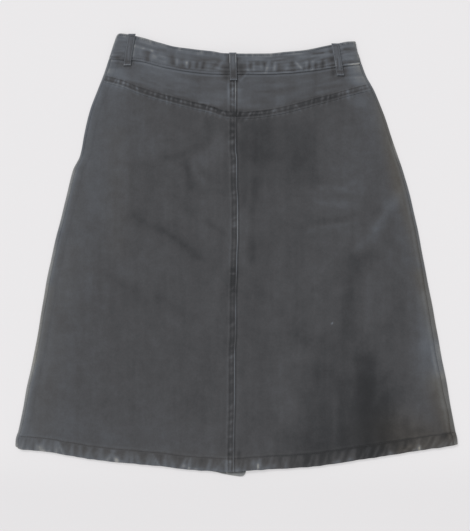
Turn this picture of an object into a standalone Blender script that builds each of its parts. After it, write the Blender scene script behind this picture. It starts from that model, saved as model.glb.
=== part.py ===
"""Knee-length A-line denim skirt, laid flat on its front so that the back is up.

The part's frame: +Y runs from the hem to the waist, +X to the wearer's right, +Z up from the
surface that the skirt lies on. The origin is on that surface, under the middle of the skirt.
"Down" is the distance below the highest point of the waist, so y = REACH / 2 - down.

The front lies underneath: two front panels whose sides fold over onto the back, with a button
placket each. The back lies on top: two yokes and two panels, joined by a felled centre seam.
One waistband goes all the way round and laps at the centre front. Every piece of cloth is a
wall between two grids of points, and neighbours stay SEAM_GAP apart. Sizes are in millimetres.
"""

import math

import bmesh
import bpy
import numpy as np

MM = 0.001
REACH = 708.0  # from the highest point of the waist to the lowest point of the hem

# Cloth
CLOTH = 1.1  # one layer of denim
HEM_WALL = 2.2  # the hem, turned up and pressed
PLACKET_WALL = 2.0
BAND_WALL = 2.4
BAND_SEAM_RISE = 0.4  # more where the waist seam's allowances lie inside the band
BAND_RISE_FROM = 0.38  # shares of the band's height between which its wall thickens so
BAND_RISE_TO = 0.5
LOOP_WALL = 2.0
SEAM_GAP = 0.3
LAYER_GAP = 0.8  # air between the front and the back
LOFT = 1.4  # how much the back stands off the front between its edges
LOFT_FROM = 8.0  # it begins this far inside a side fold, and is whole this far inside
LOFT_TO = 60.0
LOFT_KEPT = 0.4  # share of it that is left over the front opening
BACK_MARGIN = 3.0  # how far ahead the back starts to rise over something thick

# Seams
FELL_WIDTH = 11.0  # the felled centre and yoke seams
FELL_RISE = 1.0
SIDE_FELL_WIDTH = 14.0  # the side seams' allowances, pressed under the back
SIDE_FELL_RISE = 0.7
FELL_EDGE = 1.5  # the soft edge of such a ridge
HEM_DEPTH = 22.0
RAMP = 16.0  # the slope of a layer that climbs onto something thick
TURN_STEPS = 5  # facets round a side fold

# Front opening, at x = 0: the left front laps over the right one
PLACKET_HALF = 16.0
OVERLAP_END = 14.5  # where the left placket's free edge lies, past the centre
LEFT_FOOT = 50.0  # how far from the centre the left front comes down to the surface
RIGHT_FOOT = 64.0
FRONT_DIP = 12.0  # how much lower than the back the front waist lies, at its centre
CORNER_START = -50.0  # from here on the left front hangs lower than the back, down to REACH
RIGHT_FRONT_SHORT = 2.0

# Shank buttons, outer faces down
BUTTON_COUNT = 9
BUTTON_FIRST = 60.0  # the waistband button, as a distance down
BUTTON_PITCH = 68.75
CAP_HEIGHT = 2.4
POST_RADIUS = 1.5
BUTTON_SIDES = 16
CAP_PROFILE = (
    # radius, height above the outer face
    (3.0, 0.7),
    (5.8, 0.5),
    (6.6, 0.0),
    (7.8, 0.0),
    (8.5, 0.8),
    (8.3, 1.6),
    (7.2, CAP_HEIGHT),
    (POST_RADIUS, CAP_HEIGHT),
)
HOLE_START = -13.3  # a buttonhole's ends along x, and its width
HOLE_END = 2.7
HOLE_WIDTH = 3.6
CAP_REACH = 9.0  # the placket is level this far from a button
LIFT_SAG = 0.15  # share of the placket's lift that is lost halfway between two buttons
HEM_SETTLE = 60.0  # the placket comes down over this length below the last button

# Belt loops. Ends are x and down; a loop's tail reaches past the band's lower edge.
LOOP_WIDTH = 12.5
LOOP_SLACK = 0.7  # more room under the middle of a loop than under its ends
LOOP_OVERHANG = 1.0  # how far a loop stays level past the band's lower edge
BACK_LOOPS = (
    # name, top_x, top_down, bottom_x, bottom_down
    ("belt_loop_back_left", -167.5, 1.5, -174.5, 49.5),
    ("belt_loop_back_centre", -5.4, 31.5, -5.0, 73.5),
    ("belt_loop_back_right", 156.6, 17.5, 165.0, 65.5),
)
FRONT_LOOP_X = 96.0
FRONT_LOOP_TAIL = 9.0
LOOP_MARGIN = 2.0
FRONT_LOOP_FLAT = LOOP_WIDTH / 2 + LOOP_MARGIN  # the front lies level over a front loop
FRONT_LOOP_FOOT = 21.0  # and comes down to the surface this far from its middle
LOOP_SPREAD = 10.0  # the back is level over a front loop for so much more

# The folded side edges. down: level; left, right: x of the fold; left_in, right_in: how far
# inside the fold the side seam lies, on the back.
SIDES = (
    # down, left, right, left_in, right_in
    (0, -191, 189, 4.5, 4.5),
    (22, -199, 192, 4.5, 4.5),
    (45, -206, 199, 4.5, 4.5),
    (67, -213, 207, 4.5, 4.5),
    (90, -223, 219, 4.5, 4.5),
    (122, -235, 233, 4.5, 4.5),
    (162, -244, 247, 4.5, 4.5),
    (195, -251, 258, 4.5, 5),
    (218, -262, 265, 5, 5.5),
    (266, -274, 279, 5.5, 6.5),
    (330, -290, 294, 6, 8),
    (410, -307, 307.5, 6, 8),
    (490, -320, 323.5, 5.5, 7),
    (570, -337, 338.5, 5, 11),
    (618, -346, 347, 5, 11),
    (651, -353, 353.5, 5, 7),
    (664, -353.5, 353.5, 5, 6),
)
# Lines that run across the back, as the distance down at each x.
WAIST_TOP = (
    # x, down
    (-200, 0),
    (-172, 1),
    (-150, 6),
    (-126, 13.5),
    (-100, 20),
    (-75, 23.5),
    (-20, 30.5),
    (15, 32),
    (50, 31.5),
    (105, 26.5),
    (140, 19.5),
    (168, 14),
    (200, 12.5),
)
BAND_BOTTOM = (
    # x, down
    (-215, 39),
    (-160, 42),
    (-110, 54),
    (-64, 61),
    (-20, 64),
    (20, 64),
    (82, 62),
    (128, 57),
    (152, 53),
    (210, 46),
)
YOKE_BOTTOM = (
    # x, down
    (-230, 71),
    (-186, 81),
    (-153, 93),
    (-111, 106),
    (-57, 121),
    (-12, 134),
    (12, 134),
    (50, 129),
    (102, 120),
    (151, 106),
    (193, 94),
    (230, 84),
)
HEM_BOTTOM = (
    # x, down
    (-360, 660),
    (-343, 665),
    (-292, 671.5),
    (-215, 683),
    (-113, 693),
    (-60, 698),
    (-10, 700.5),
    (40, 698.5),
    (92, 695),
    (194, 682),
    (297, 666),
    (335, 660.5),
    (360, 656),
)
# The centre back seam wanders a little.
CENTRE_SEAM = (
    # down, x
    (20, -1),
    (134, -1),
    (230, 2),
    (313, 3),
    (370, 0),
    (505, -3.5),
    (705, -5),
)
# The largest soft folds in the back: each is a ridge from one end to the other.
FOLDS = (
    # x0, down0, x1, down1, half_width, height
    (-172, 280, -52, 348, 24, 1.8),
    (-212, 380, -90, 440, 22, 1.4),
    (-112, 176, -70, 232, 24, 1.3),
    (112, 300, 205, 284, 22, 1.4),
    (188, 336, 258, 268, 24, 2.0),
    (216, 358, 222, 470, 26, 1.6),
    (158, 420, 136, 640, 36, 2.2),
    (176, 122, 190, 240, 30, 1.2),
    (-150, 500, -190, 640, 40, 1.2),
)


def clear_scene():
    for item in list(bpy.data.objects):
        bpy.data.objects.remove(item)


def curve(points):
    """A smooth function through (at, value) points that never overshoots between two of them."""
    at, value = np.array(points, float).T
    slope = np.diff(value) / np.diff(at)
    before, after = slope[:-1], slope[1:]
    same_way = before * after > 0
    middle = np.where(same_way, 2 * before * after / np.where(same_way, before + after, 1), 0)
    tangent = np.concatenate([slope[:1], middle, slope[-1:]])

    def value_at(x):
        x = np.clip(x, at[0], at[-1])
        i = np.clip(np.searchsorted(at, x) - 1, 0, len(at) - 2)
        span = at[i + 1] - at[i]
        t = (x - at[i]) / span
        start = (1 + 2 * t) * (1 - t) ** 2 * value[i] + t * (1 - t) ** 2 * span * tangent[i]
        end = t * t * (3 - 2 * t) * value[i + 1] + t * t * (t - 1) * span * tangent[i + 1]
        return start + end

    return value_at


def column(table, index):
    return [(row[0], row[index]) for row in table]


def smooth(x, start, end):
    """0 at start and before it, 1 at end and past it; start may be the larger one."""
    t = np.clip((x - start) / (end - start), 0, 1)
    return t * t * (3 - 2 * t)


# Outlines

left_fold = curve(column(SIDES, 1))
right_fold = curve(column(SIDES, 2))
left_in = curve(column(SIDES, 3))
right_in = curve(column(SIDES, 4))
waist_top = curve(WAIST_TOP)
band_bottom = curve(BAND_BOTTOM)
yoke_bottom = curve(YOKE_BOTTOM)
hem_bottom = curve(HEM_BOTTOM)
centre_left = curve(CENTRE_SEAM)


def centre_right(down):
    return centre_left(down) + SEAM_GAP


def left_seam(down):
    return left_fold(down) + left_in(down)


def right_seam(down):
    return right_fold(down) - right_in(down)


def yoke_top(x):
    return band_bottom(x) + SEAM_GAP


def panel_top(x):
    return yoke_bottom(x) + SEAM_GAP


def front_dip(x):
    """How much lower the front's waist lies than the back's: nothing at the side folds."""
    return FRONT_DIP * np.clip(1 - (x / left_fold(0)) ** 2, 0, 1)


def front_waist_top(x):
    return waist_top(x) + front_dip(x)


def front_band_bottom(x):
    return band_bottom(x) + front_dip(x)


def front_top(x):
    return front_band_bottom(x) + SEAM_GAP


def front_loop_end(x):
    return front_band_bottom(x) + FRONT_LOOP_TAIL


def left_front_hem(x):
    corner_drop = REACH - hem_bottom(OVERLAP_END)
    return hem_bottom(x) + corner_drop * smooth(x, CORNER_START, OVERLAP_END)


def right_front_hem(x):
    return hem_bottom(x) - RIGHT_FRONT_SHORT * smooth(x, right_fold(REACH), 0)


# Heights above the surface


def button_down(index):
    return BUTTON_FIRST + index * BUTTON_PITCH


def opening_lift(down, sag=LIFT_SAG):
    """How high the buttons hold the placket, which sags between them and settles at the hem."""
    turns = (down - BUTTON_FIRST) / BUTTON_PITCH
    sagged = 1 - sag * (1 - np.cos(2 * math.pi * turns)) / 2
    last = button_down(BUTTON_COUNT - 1)
    return (CAP_HEIGHT + SEAM_GAP) * sagged * smooth(down, last + HEM_SETTLE, last + CAP_REACH)


def loop_lift(x, down, spread=0.0):
    """The front belt loops lie under the front, and lift it."""
    off = np.abs(np.abs(x) - FRONT_LOOP_X)
    below = down - front_loop_end(x)
    foot = FRONT_LOOP_FOOT + 1.5 * spread
    across = smooth(off, foot, FRONT_LOOP_FLAT + spread)
    along = smooth(below, foot, LOOP_MARGIN + spread)
    return (LOOP_WALL + SEAM_GAP) * across * along


def left_front_under(x, down):
    """Underside of the left front, which lies on the buttons at the centre."""
    return opening_lift(down) * smooth(x, -LEFT_FOOT, -PLACKET_HALF) + loop_lift(x, down)


def opening_wall(x, down):
    """Thickness of one front at the opening: waistband, placket or hem."""
    in_band = smooth(down, front_band_bottom(x) + RAMP, front_band_bottom(x))
    in_hem = smooth(down, hem_bottom(x) - HEM_DEPTH - RAMP, hem_bottom(x) - HEM_DEPTH)
    band_more = BAND_WALL + BAND_SEAM_RISE - PLACKET_WALL
    return PLACKET_WALL + band_more * in_band + (HEM_WALL - PLACKET_WALL) * in_hem


def right_front_under(x, down):
    """Underside of the right front, which laps over the inside of the left one."""
    lapped = opening_lift(down) + opening_wall(x, down) + SEAM_GAP
    return lapped * smooth(x, RIGHT_FOOT, PLACKET_HALF) + loop_lift(x, down)


def folds(x, down):
    """Height of the soft folds, each a smooth ridge along a straight line."""
    height = np.zeros(np.broadcast(x, down).shape)
    for x0, down0, x1, down1, half_width, peak in FOLDS:
        dx, dy = x1 - x0, down1 - down0
        t = np.clip(((x - x0) * dx + (down - down0) * dy) / (dx**2 + dy**2), 0, 1)
        off = np.hypot(x - x0 - t * dx, down - down0 - t * dy)
        height = height + peak * np.exp(-((off / half_width) ** 2))
    return height


def back_under(x, down):
    """Underside of the back: clear of all that lies below it, with its loft and soft folds."""
    band_edge = front_band_bottom(x) + BACK_MARGIN
    in_band = smooth(down, band_edge + RAMP, band_edge)
    hem_edge = hem_bottom(x) - HEM_DEPTH - BACK_MARGIN
    in_hem = smooth(down, hem_edge - RAMP, hem_edge)
    below = CLOTH + (BAND_WALL + BAND_SEAM_RISE - CLOTH) * in_band + (HEM_WALL - CLOTH) * in_hem
    lapped = opening_lift(down, sag=0) + 2 * opening_wall(x, down) + SEAM_GAP - below
    left_slope = smooth(x, -LEFT_FOOT - BACK_MARGIN, -PLACKET_HALF - BACK_MARGIN)
    right_slope = smooth(x, RIGHT_FOOT + BACK_MARGIN, PLACKET_HALF + BACK_MARGIN)
    over_opening = left_slope * right_slope
    room = np.minimum(x - left_fold(down), right_fold(down) - x)
    inside = smooth(room, LOFT_FROM, LOFT_TO) * (1 - in_band) * (1 - in_hem)
    loft = (LOFT + folds(x, down)) * inside * (1 - (1 - LOFT_KEPT) * over_opening)
    lifted = lapped * over_opening + loop_lift(x, down, LOOP_SPREAD)
    return below + LAYER_GAP + lifted + loft


def back_wall(x, down):
    """Thickness of the back without its seams: one layer, and the turned-up hem."""
    hem_edge = hem_bottom(x) - HEM_DEPTH
    return CLOTH + (HEM_WALL - CLOTH) * smooth(down, hem_edge - FELL_EDGE, hem_edge)


def band_wall(share):
    """Thickness of the waistband at a share of its height."""
    return BAND_WALL + BAND_SEAM_RISE * smooth(share, BAND_RISE_FROM, BAND_RISE_TO)


def centre_fell(x, down):
    """The ridge of the felled centre seam, all on its left side."""
    inside = centre_left(down) - x
    ridge = FELL_RISE * smooth(inside, FELL_WIDTH, FELL_WIDTH - FELL_EDGE)
    return ridge * (inside > -SEAM_GAP / 2)


def side_fell(x, down):
    inside = np.minimum(x - left_seam(down), right_seam(down) - x)
    return SIDE_FELL_RISE * smooth(inside, SIDE_FELL_WIDTH, SIDE_FELL_WIDTH - FELL_EDGE)


def yoke_fell(x, down):
    return FELL_RISE * smooth(yoke_bottom(x) - down, FELL_WIDTH, FELL_WIDTH - FELL_EDGE)


def yoke_outer(x, down):
    ridges = np.maximum(np.maximum(centre_fell(x, down), side_fell(x, down)), yoke_fell(x, down))
    return back_under(x, down) + CLOTH + ridges


def panel_outer(x, down):
    ridges = np.maximum(centre_fell(x, down), side_fell(x, down))
    return back_under(x, down) + back_wall(x, down) + ridges


# Lines of a grid. A station is a share of the way from one edge to the other, and an offset.


def stations(first, count, last):
    """Offsets from the first edge, even steps, then offsets back from the last edge."""
    steps = [k / count for k in range(1, count)]
    between = [(t, first[-1] * (1 - t) - last[0] * t) for t in steps]
    return [(0, offset) for offset in first] + between + [(1, -offset) for offset in last]


FELL_COLUMNS = (FELL_WIDTH, FELL_WIDTH - FELL_EDGE, 0)
SIDE_COLUMNS = (SIDE_FELL_WIDTH, SIDE_FELL_WIDTH - FELL_EDGE, 0)
# Distances from the centre seam of the columns where the back slopes down from the opening
LEFT_SLOPE = (50, 34, 22)
RIGHT_SLOPE = (18, 34, 50, RIGHT_FOOT)
LEFT_COLUMNS = stations(SIDE_COLUMNS[::-1], 9, (*LEFT_SLOPE, *FELL_COLUMNS))
RIGHT_COLUMNS = stations((0, *RIGHT_SLOPE), 9, SIDE_COLUMNS)
BAND_ROWS = [(share, 0) for share in (0, BAND_RISE_FROM, BAND_RISE_TO, 1)]
YOKE_ROWS = stations((0, FRONT_DIP), 3, FELL_COLUMNS)
PANEL_ROWS = stations((0,), 17, (HEM_DEPTH + RAMP, HEM_DEPTH + FELL_EDGE, HEM_DEPTH, 0))
# Distances from the centre of a front's columns, as far as the last one before its side fold
FRONT_COLUMNS = (
    PLACKET_HALF + SEAM_GAP,
    26,
    38,
    LEFT_FOOT,
    RIGHT_FOOT,
    FRONT_LOOP_X - FRONT_LOOP_FOOT,
    FRONT_LOOP_X - FRONT_LOOP_FLAT,
    FRONT_LOOP_X + FRONT_LOOP_FLAT,
    FRONT_LOOP_X + FRONT_LOOP_FOOT,
    150,
)


def level(upper, lower, station):
    """A line across the skirt, between an upper and a lower one, as a function of x."""
    share, offset = station
    return lambda x: upper(x) * (1 - share) + lower(x) * share + offset


def back_levels():
    """The lines of points that the yokes and the back panels have at the side seams."""
    yoke = [level(yoke_top, yoke_bottom, row) for row in YOKE_ROWS]
    return yoke + [level(panel_top, hem_bottom, row) for row in PANEL_ROWS[1:]]


def meeting(edge, line):
    """The x where a side edge crosses a line."""
    x = edge(REACH / 2)
    for _ in range(12):
        x = edge(line(x))
    return float(x)


def patch(upper, lower, left, right, rows, columns):
    """Points x and down of a piece between two lines and two side edges."""
    xs, downs = [], []
    for row in rows:
        line = level(upper, lower, row)
        start, end = meeting(left, line), meeting(right, line)
        xs.append([start + (end - start) * share + offset for share, offset in columns])
        downs.append([float(line(x)) for x in xs[-1]])
    return np.array(xs), np.array(downs)


# Meshes


def placed(x, down, z):
    """Points in the part's frame, in metres."""
    return np.stack([x, REACH / 2 - down, z], axis=-1) * MM


def new_object(name, bm, material):
    bmesh.ops.recalc_face_normals(bm, faces=bm.faces)
    mesh = bpy.data.meshes.new(name)
    bm.to_mesh(mesh)
    bm.free()
    mesh.shade_smooth()
    mesh.set_sharp_from_angle(angle=math.radians(40))
    mesh.materials.append(material)
    made = bpy.data.objects.new(name, mesh)
    bpy.context.scene.collection.objects.link(made)
    return made


def wall(name, outer, inner, material):
    """A closed wall between two grids of points of the same size."""
    rows, columns = outer.shape[:2]
    bm = bmesh.new()
    out = [[bm.verts.new(point) for point in line] for line in outer]
    back = [[bm.verts.new(point) for point in line] for line in inner]
    for i in range(rows - 1):
        for j in range(columns - 1):
            bm.faces.new((out[i][j], out[i][j + 1], out[i + 1][j + 1], out[i + 1][j]))
            bm.faces.new((back[i][j], back[i + 1][j], back[i + 1][j + 1], back[i][j + 1]))
    rim = [(0, j) for j in range(columns)]
    rim += [(i, columns - 1) for i in range(1, rows)]
    rim += [(rows - 1, j) for j in range(columns - 2, -1, -1)]
    rim += [(i, 0) for i in range(rows - 2, 0, -1)]
    for (i, j), (k, m) in zip(rim, rim[1:] + rim[:1]):
        bm.faces.new((out[i][j], back[i][j], back[k][m], out[k][m]))
    return new_object(name, bm, material)


def material(name, colour, roughness, metallic):
    made = bpy.data.materials.new(name)
    made.use_nodes = True
    shader = made.node_tree.nodes["Principled BSDF"]
    shader.inputs["Base Color"].default_value = (*colour, 1)
    shader.inputs["Roughness"].default_value = roughness
    shader.inputs["Metallic"].default_value = metallic
    return made


# The back


def make_back_piece(name, edges, columns, rows, upper, lower, outer_of, denim):
    x, down = patch(upper, lower, *edges, rows, columns)
    top, under = outer_of(x, down), back_under(x, down)
    wall(name, placed(x, down, top), placed(x, down, under), denim)


def make_back(denim):
    halves = (
        ("left", (left_seam, centre_left), LEFT_COLUMNS),
        ("right", (centre_right, right_seam), RIGHT_COLUMNS),
    )
    for half, edges, columns in halves:
        yoke = (YOKE_ROWS, yoke_top, yoke_bottom, yoke_outer)
        make_back_piece(f"back_yoke_{half}", edges, columns, *yoke, denim)
        panel = (PANEL_ROWS, panel_top, hem_bottom, panel_outer)
        make_back_piece(f"back_panel_{half}", edges, columns, *panel, denim)


# The front


def side_turn(fold_x, down, height, thickness):
    """Outer and inner points (x, down, z) round a side fold, from its underside to its top."""
    sign = math.copysign(1, fold_x)
    radius = height / 2
    middle = fold_x - sign * radius
    angles = [math.pi * (step / TURN_STEPS - 0.5) for step in range(TURN_STEPS + 1)]
    rounds = []
    for r in (radius, radius - thickness):
        points = [(middle + sign * r * math.cos(a), radius + r * math.sin(a)) for a in angles]
        rounds.append([(x, down, z) for x, z in points])
    return rounds


def flat_part(xs, line, under_of, thickness):
    """Outer and inner points of a front where it lies on the surface."""
    downs = [float(line(x)) for x in xs]
    unders = [float(under_of(x, down)) for x, down in zip(xs, downs)]
    outer = list(zip(xs, downs, unders))
    return outer, [(x, down, z + thickness) for x, down, z in outer]


def join_lines(*parts):
    """One outer and one inner line of points, from several."""
    return [sum(lines, []) for lines in zip(*parts)]


def make_wall(name, lines, material):
    """A wall from rows of (outer, inner) lines of points (x, down, z)."""
    outer, inner = np.array(lines).transpose(1, 3, 0, 2)
    return wall(name, placed(*outer), placed(*inner), material)


def make_front_panel(name, sign, under_of, hem, fold, seam, denim):
    """A front panel, from its placket under the skirt and round the fold to the side seam."""
    columns = [sign * x for x in FRONT_COLUMNS]
    lines = []
    for above in back_levels():
        seam_x = meeting(seam, above)
        length = hem_bottom(seam_x) - yoke_top(seam_x)
        share = (above(seam_x) - yoke_top(seam_x)) / length
        below = level(front_top, hem, (share, 0))
        fold_x = meeting(fold, above)
        down = float(above(fold_x))
        thickness = float(back_wall(fold_x, down))
        height = float(back_under(fold_x, down)) + thickness
        turn = side_turn(fold_x, down, height, thickness)
        last = (seam_x + sign * SEAM_GAP, float(above(seam_x)))
        end = [[(*last, height)], [(*last, height - thickness)]]
        lines.append(join_lines(flat_part(columns, below, under_of, thickness), turn, end))
    return make_wall(name, lines, denim)


def make_front_panels(denim):
    left = (-1, left_front_under, left_front_hem, left_fold, left_seam)
    right = (1, right_front_under, right_front_hem, right_fold, right_seam)
    make_front_panel("front_panel_left", *left, denim)
    make_front_panel("front_panel_right", *right, denim)


def make_placket(name, end, under_of, hem, denim):
    """One button placket. Its rows lie at the buttons, halfway between them, and at the hem."""
    columns = np.linspace(-PLACKET_HALF, end, 4)
    top, bottom = float(front_top(0)), float(hem(0))
    half_steps = [button_down(k / 2) for k in range(1, 2 * BUTTON_COUNT - 1)]
    settling = [half_steps[-1] + CAP_REACH, half_steps[-1] + HEM_SETTLE / 2]
    hem_rows = [bottom - HEM_DEPTH - FELL_EDGE, bottom - HEM_DEPTH, bottom]
    lines = []
    for down in (top, top + RAMP, *half_steps[1:], *settling, *hem_rows):
        line = level(front_top, hem, ((down - top) / (bottom - top), 0))
        thickness = HEM_WALL if down >= bottom - HEM_DEPTH else PLACKET_WALL
        lines.append(flat_part(columns, line, under_of, thickness))
    return make_wall(name, lines, denim)


def cut_buttonholes(target, indices, material):
    """Slots through the lower layer of the opening, one for each button's post."""
    bm = bmesh.new()
    for index in indices:
        down = button_down(index)
        top = opening_lift(down) + opening_wall(0, down) + SEAM_GAP / 2
        low = CAP_HEIGHT + SEAM_GAP / 2
        size = (HOLE_END - HOLE_START, HOLE_WIDTH, top - low)
        middle = ((HOLE_END + HOLE_START) / 2, REACH / 2 - down, (top + low) / 2)
        box = bmesh.ops.create_cube(bm, size=MM)["verts"]
        bmesh.ops.scale(bm, vec=size, verts=box)
        bmesh.ops.translate(bm, vec=[value * MM for value in middle], verts=box)
    cutter = new_object(f"{target.name}_holes", bm, material)
    cutter.hide_render = True
    cutter.display_type = "WIRE"
    cut = target.modifiers.new("buttonholes", "BOOLEAN")
    cut.operation = "DIFFERENCE"
    cut.object = cutter


def make_waistband(denim):
    """One strip: the left front's end, the left fold, the back, the right fold, the right end."""
    left_columns = [-x for x in (-OVERLAP_END, 0, PLACKET_HALF, *FRONT_COLUMNS[1:])]
    right_columns = [-PLACKET_HALF, 0, PLACKET_HALF, *FRONT_COLUMNS[1:]]
    band = (waist_top, band_bottom)
    left_x, left_down = patch(*band, left_seam, centre_left, BAND_ROWS, LEFT_COLUMNS)
    right_x, right_down = patch(*band, centre_right, right_seam, BAND_ROWS, RIGHT_COLUMNS)
    back_x = np.concatenate([left_x, right_x[:, 1:]], axis=1)
    back_down = np.concatenate([left_down, right_down[:, 1:]], axis=1)
    lines = []
    for (share, _), xs, downs in zip(BAND_ROWS, back_x, back_down):
        thickness = float(band_wall(share))
        below = level(front_waist_top, front_band_bottom, (share, 0))
        above = level(*band, (share, 0))
        turns = []
        for fold in (left_fold, right_fold):
            fold_x = meeting(fold, above)
            down = float(above(fold_x))
            height = float(back_under(fold_x, down)) + thickness
            turns.append(side_turn(fold_x, down, height, thickness))
        unders = back_under(xs, downs)
        back = [list(zip(xs, downs, unders + thickness)), list(zip(xs, downs, unders))]
        left = flat_part(left_columns, below, left_front_under, thickness)
        right = flat_part(right_columns, below, right_front_under, thickness)
        reverse = [line[::-1] for line in join_lines(right, turns[1])]
        lines.append(join_lines(left, turns[0], back, reverse))
    return make_wall("waistband", lines, denim)


# Belt loops and buttons


def back_loop_base(x, down):
    """The highest point of the band or the yoke under a stretch of a loop."""
    across = np.linspace(x - LOOP_WIDTH / 2, x + LOOP_WIDTH / 2, 7)
    under = back_under(across, down)
    over_band = down < band_bottom(across) + 2 * LOOP_OVERHANG
    top = np.where(over_band, under + BAND_WALL + BAND_SEAM_RISE, yoke_outer(across, down))
    return float(np.max(top)) + SEAM_GAP


def make_back_loop(name, top_x, top_down, bottom_x, bottom_down, denim):
    """A strip over the band, tacked at its top and, past the band, to the yoke."""
    edge = float(band_bottom(bottom_x)) + LOOP_OVERHANG
    rows = (
        # down, slack
        (top_down, 0),
        (top_down + 4, 0),
        (top_down + 9, LOOP_SLACK),
        (edge - 8, LOOP_SLACK),
        (edge - 3, LOOP_SLACK / 2),
        (edge, 0),
        (edge + 3, 0),
        (bottom_down, 0),
    )
    lines = []
    for down, slack in rows:
        share = (down - top_down) / (bottom_down - top_down)
        x = top_x + (bottom_x - top_x) * share
        z = back_loop_base(x, down) + slack
        under = [(x + side * LOOP_WIDTH / 2, down, z) for side in (-1, 0, 1)]
        lines.append([[(*point[:2], z + LOOP_WALL) for point in under], under])
    return make_wall(name, lines, denim)


def on_surface(x, down):
    return 0.0


def make_front_loop(name, sign, denim):
    """A strip flat on the surface, under the front of the band."""
    columns = [sign * FRONT_LOOP_X + k * LOOP_WIDTH / 2 for k in (-1, 0, 1)]
    lines = []
    for share in (0, 0.5, 1):
        line = level(front_waist_top, front_loop_end, (share, 0))
        lines.append(flat_part(columns, line, on_surface, LOOP_WALL))
    return make_wall(name, lines, denim)


def make_button(index, metal):
    """A shank button: its cap lies under the left front, its post reaches through to the right."""
    down = button_down(index)
    post_top = float(opening_lift(down) + opening_wall(0, down))
    bm = bmesh.new()
    rings = []
    for radius, height in (*CAP_PROFILE, (POST_RADIUS, post_top)):
        angles = [2 * math.pi * k / BUTTON_SIDES for k in range(BUTTON_SIDES)]
        ring = [(radius * math.cos(a), radius * math.sin(a), height) for a in angles]
        rings.append([bm.verts.new([value * MM for value in point]) for point in ring])
    for low, high in zip(rings, rings[1:]):
        for k in range(BUTTON_SIDES):
            following = (k + 1) % BUTTON_SIDES
            bm.faces.new((low[k], low[following], high[following], high[k]))
    bm.faces.new(rings[0])
    bm.faces.new(rings[-1])
    made = new_object(f"button_{index + 1}", bm, metal)
    made.location = (0, (REACH / 2 - down) * MM, 0)
    return made


def main():
    clear_scene()
    denim = material("washed_black_denim", (0.075, 0.077, 0.082), 0.9, 0)
    metal = material("dark_metal", (0.16, 0.15, 0.14), 0.35, 1)
    make_back(denim)
    make_front_panels(denim)
    band = make_waistband(denim)
    lower = make_placket("front_placket_left", OVERLAP_END, left_front_under, left_front_hem, denim)
    make_placket("front_placket_right", PLACKET_HALF, right_front_under, right_front_hem, denim)
    cut_buttonholes(band, [0], denim)
    cut_buttonholes(lower, range(1, BUTTON_COUNT), denim)
    for loop in BACK_LOOPS:
        make_back_loop(*loop, denim)
    make_front_loop("belt_loop_front_left", -1, denim)
    make_front_loop("belt_loop_front_right", 1, denim)
    for index in range(BUTTON_COUNT):
        make_button(index, metal)


main()
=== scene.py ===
"""A washed-black denim skirt, knee length and A-line, laid flat on its front with its back up.

Every cloth piece is a fine wall on the form of its CAD solid, with its seams, stitching,
puckers and creases. +Y runs from the hem to the waist and +X to the wearer's right. "Down" is
the distance below the highest point of the waist. Sizes are in millimetres until a point is
placed. A row or a column of a grid is a share of the way between two edges, and an offset.
"""

import math

import bpy
import numpy as np
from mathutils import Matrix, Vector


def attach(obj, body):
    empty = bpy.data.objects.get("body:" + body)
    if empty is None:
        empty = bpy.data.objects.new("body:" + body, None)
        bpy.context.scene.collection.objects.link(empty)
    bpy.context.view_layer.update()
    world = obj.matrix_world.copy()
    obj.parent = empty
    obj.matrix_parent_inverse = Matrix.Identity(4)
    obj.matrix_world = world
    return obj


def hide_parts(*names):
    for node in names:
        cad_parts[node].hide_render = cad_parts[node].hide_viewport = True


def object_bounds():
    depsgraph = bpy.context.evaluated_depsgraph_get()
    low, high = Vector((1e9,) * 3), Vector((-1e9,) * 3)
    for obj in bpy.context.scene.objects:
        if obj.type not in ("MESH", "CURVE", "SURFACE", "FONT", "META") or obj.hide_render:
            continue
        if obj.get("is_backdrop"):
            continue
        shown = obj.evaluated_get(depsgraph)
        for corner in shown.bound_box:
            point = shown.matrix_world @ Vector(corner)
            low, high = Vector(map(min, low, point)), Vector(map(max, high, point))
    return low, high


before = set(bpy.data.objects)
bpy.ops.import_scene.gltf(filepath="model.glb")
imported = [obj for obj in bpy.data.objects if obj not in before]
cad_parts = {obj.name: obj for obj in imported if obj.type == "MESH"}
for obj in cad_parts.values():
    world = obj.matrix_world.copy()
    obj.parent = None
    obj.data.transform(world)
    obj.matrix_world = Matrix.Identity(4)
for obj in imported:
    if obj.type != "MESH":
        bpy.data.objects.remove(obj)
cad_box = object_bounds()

MM = 0.001
REACH = 708.0  # from the highest point of the waist to the lowest point of the hem
ROOT = "root"

# Cloth
CLOTH = 1.1
HEM_WALL = 2.2
PLACKET_WALL = 2.0
BAND_WALL = 2.4
BAND_SEAM_RISE = 0.4
BAND_RISE_FROM = 0.38
BAND_RISE_TO = 0.5
LOOP_WALL = 2.0
SEAM_GAP = 0.3
LAYER_GAP = 0.8
LOFT = 1.4
LOFT_FROM = 8.0
LOFT_TO = 60.0
LOFT_KEPT = 0.4
BACK_MARGIN = 3.0

# Seams
FELL_WIDTH = 11.0  # the felled centre and yoke seams
FELL_RISE = 1.0
CENTRE_ROWS = (2.5, 7.7)  # their two rows of stitching, as distances from the fold edge
YOKE_ROWS_UP = (3.5, 9.2)
SIDE_FELL_WIDTH = 14.0
SIDE_FELL_RISE = 0.7
FELL_EDGE = 1.5
HEM_DEPTH = 22.0
HEM_ROW = 21.3  # the hem's stitching, above its edge
HEM_FOLD = 23.1  # where the turned-up cloth ends
RAMP = 16.0
LIP = 0.9  # how far an upper layer's folded edge reaches over the layer below
LIP_ROUND = 0.9
LIP_THIN = 0.3
LIP_CLEAR = 0.05
LAP_FROM = 0.24  # past the seam, from where the upper layer keeps off the lower one
CROSSING = 0.4  # share of the lower of two ridges that is added where they cross
GROOVE_DEPTH = 0.32  # stitching draws the cloth in
GROOVE_HALF = 0.75
EDGE_ROUND = 1.1  # the round of a turned edge
EDGE_SHARE = 0.9

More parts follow.
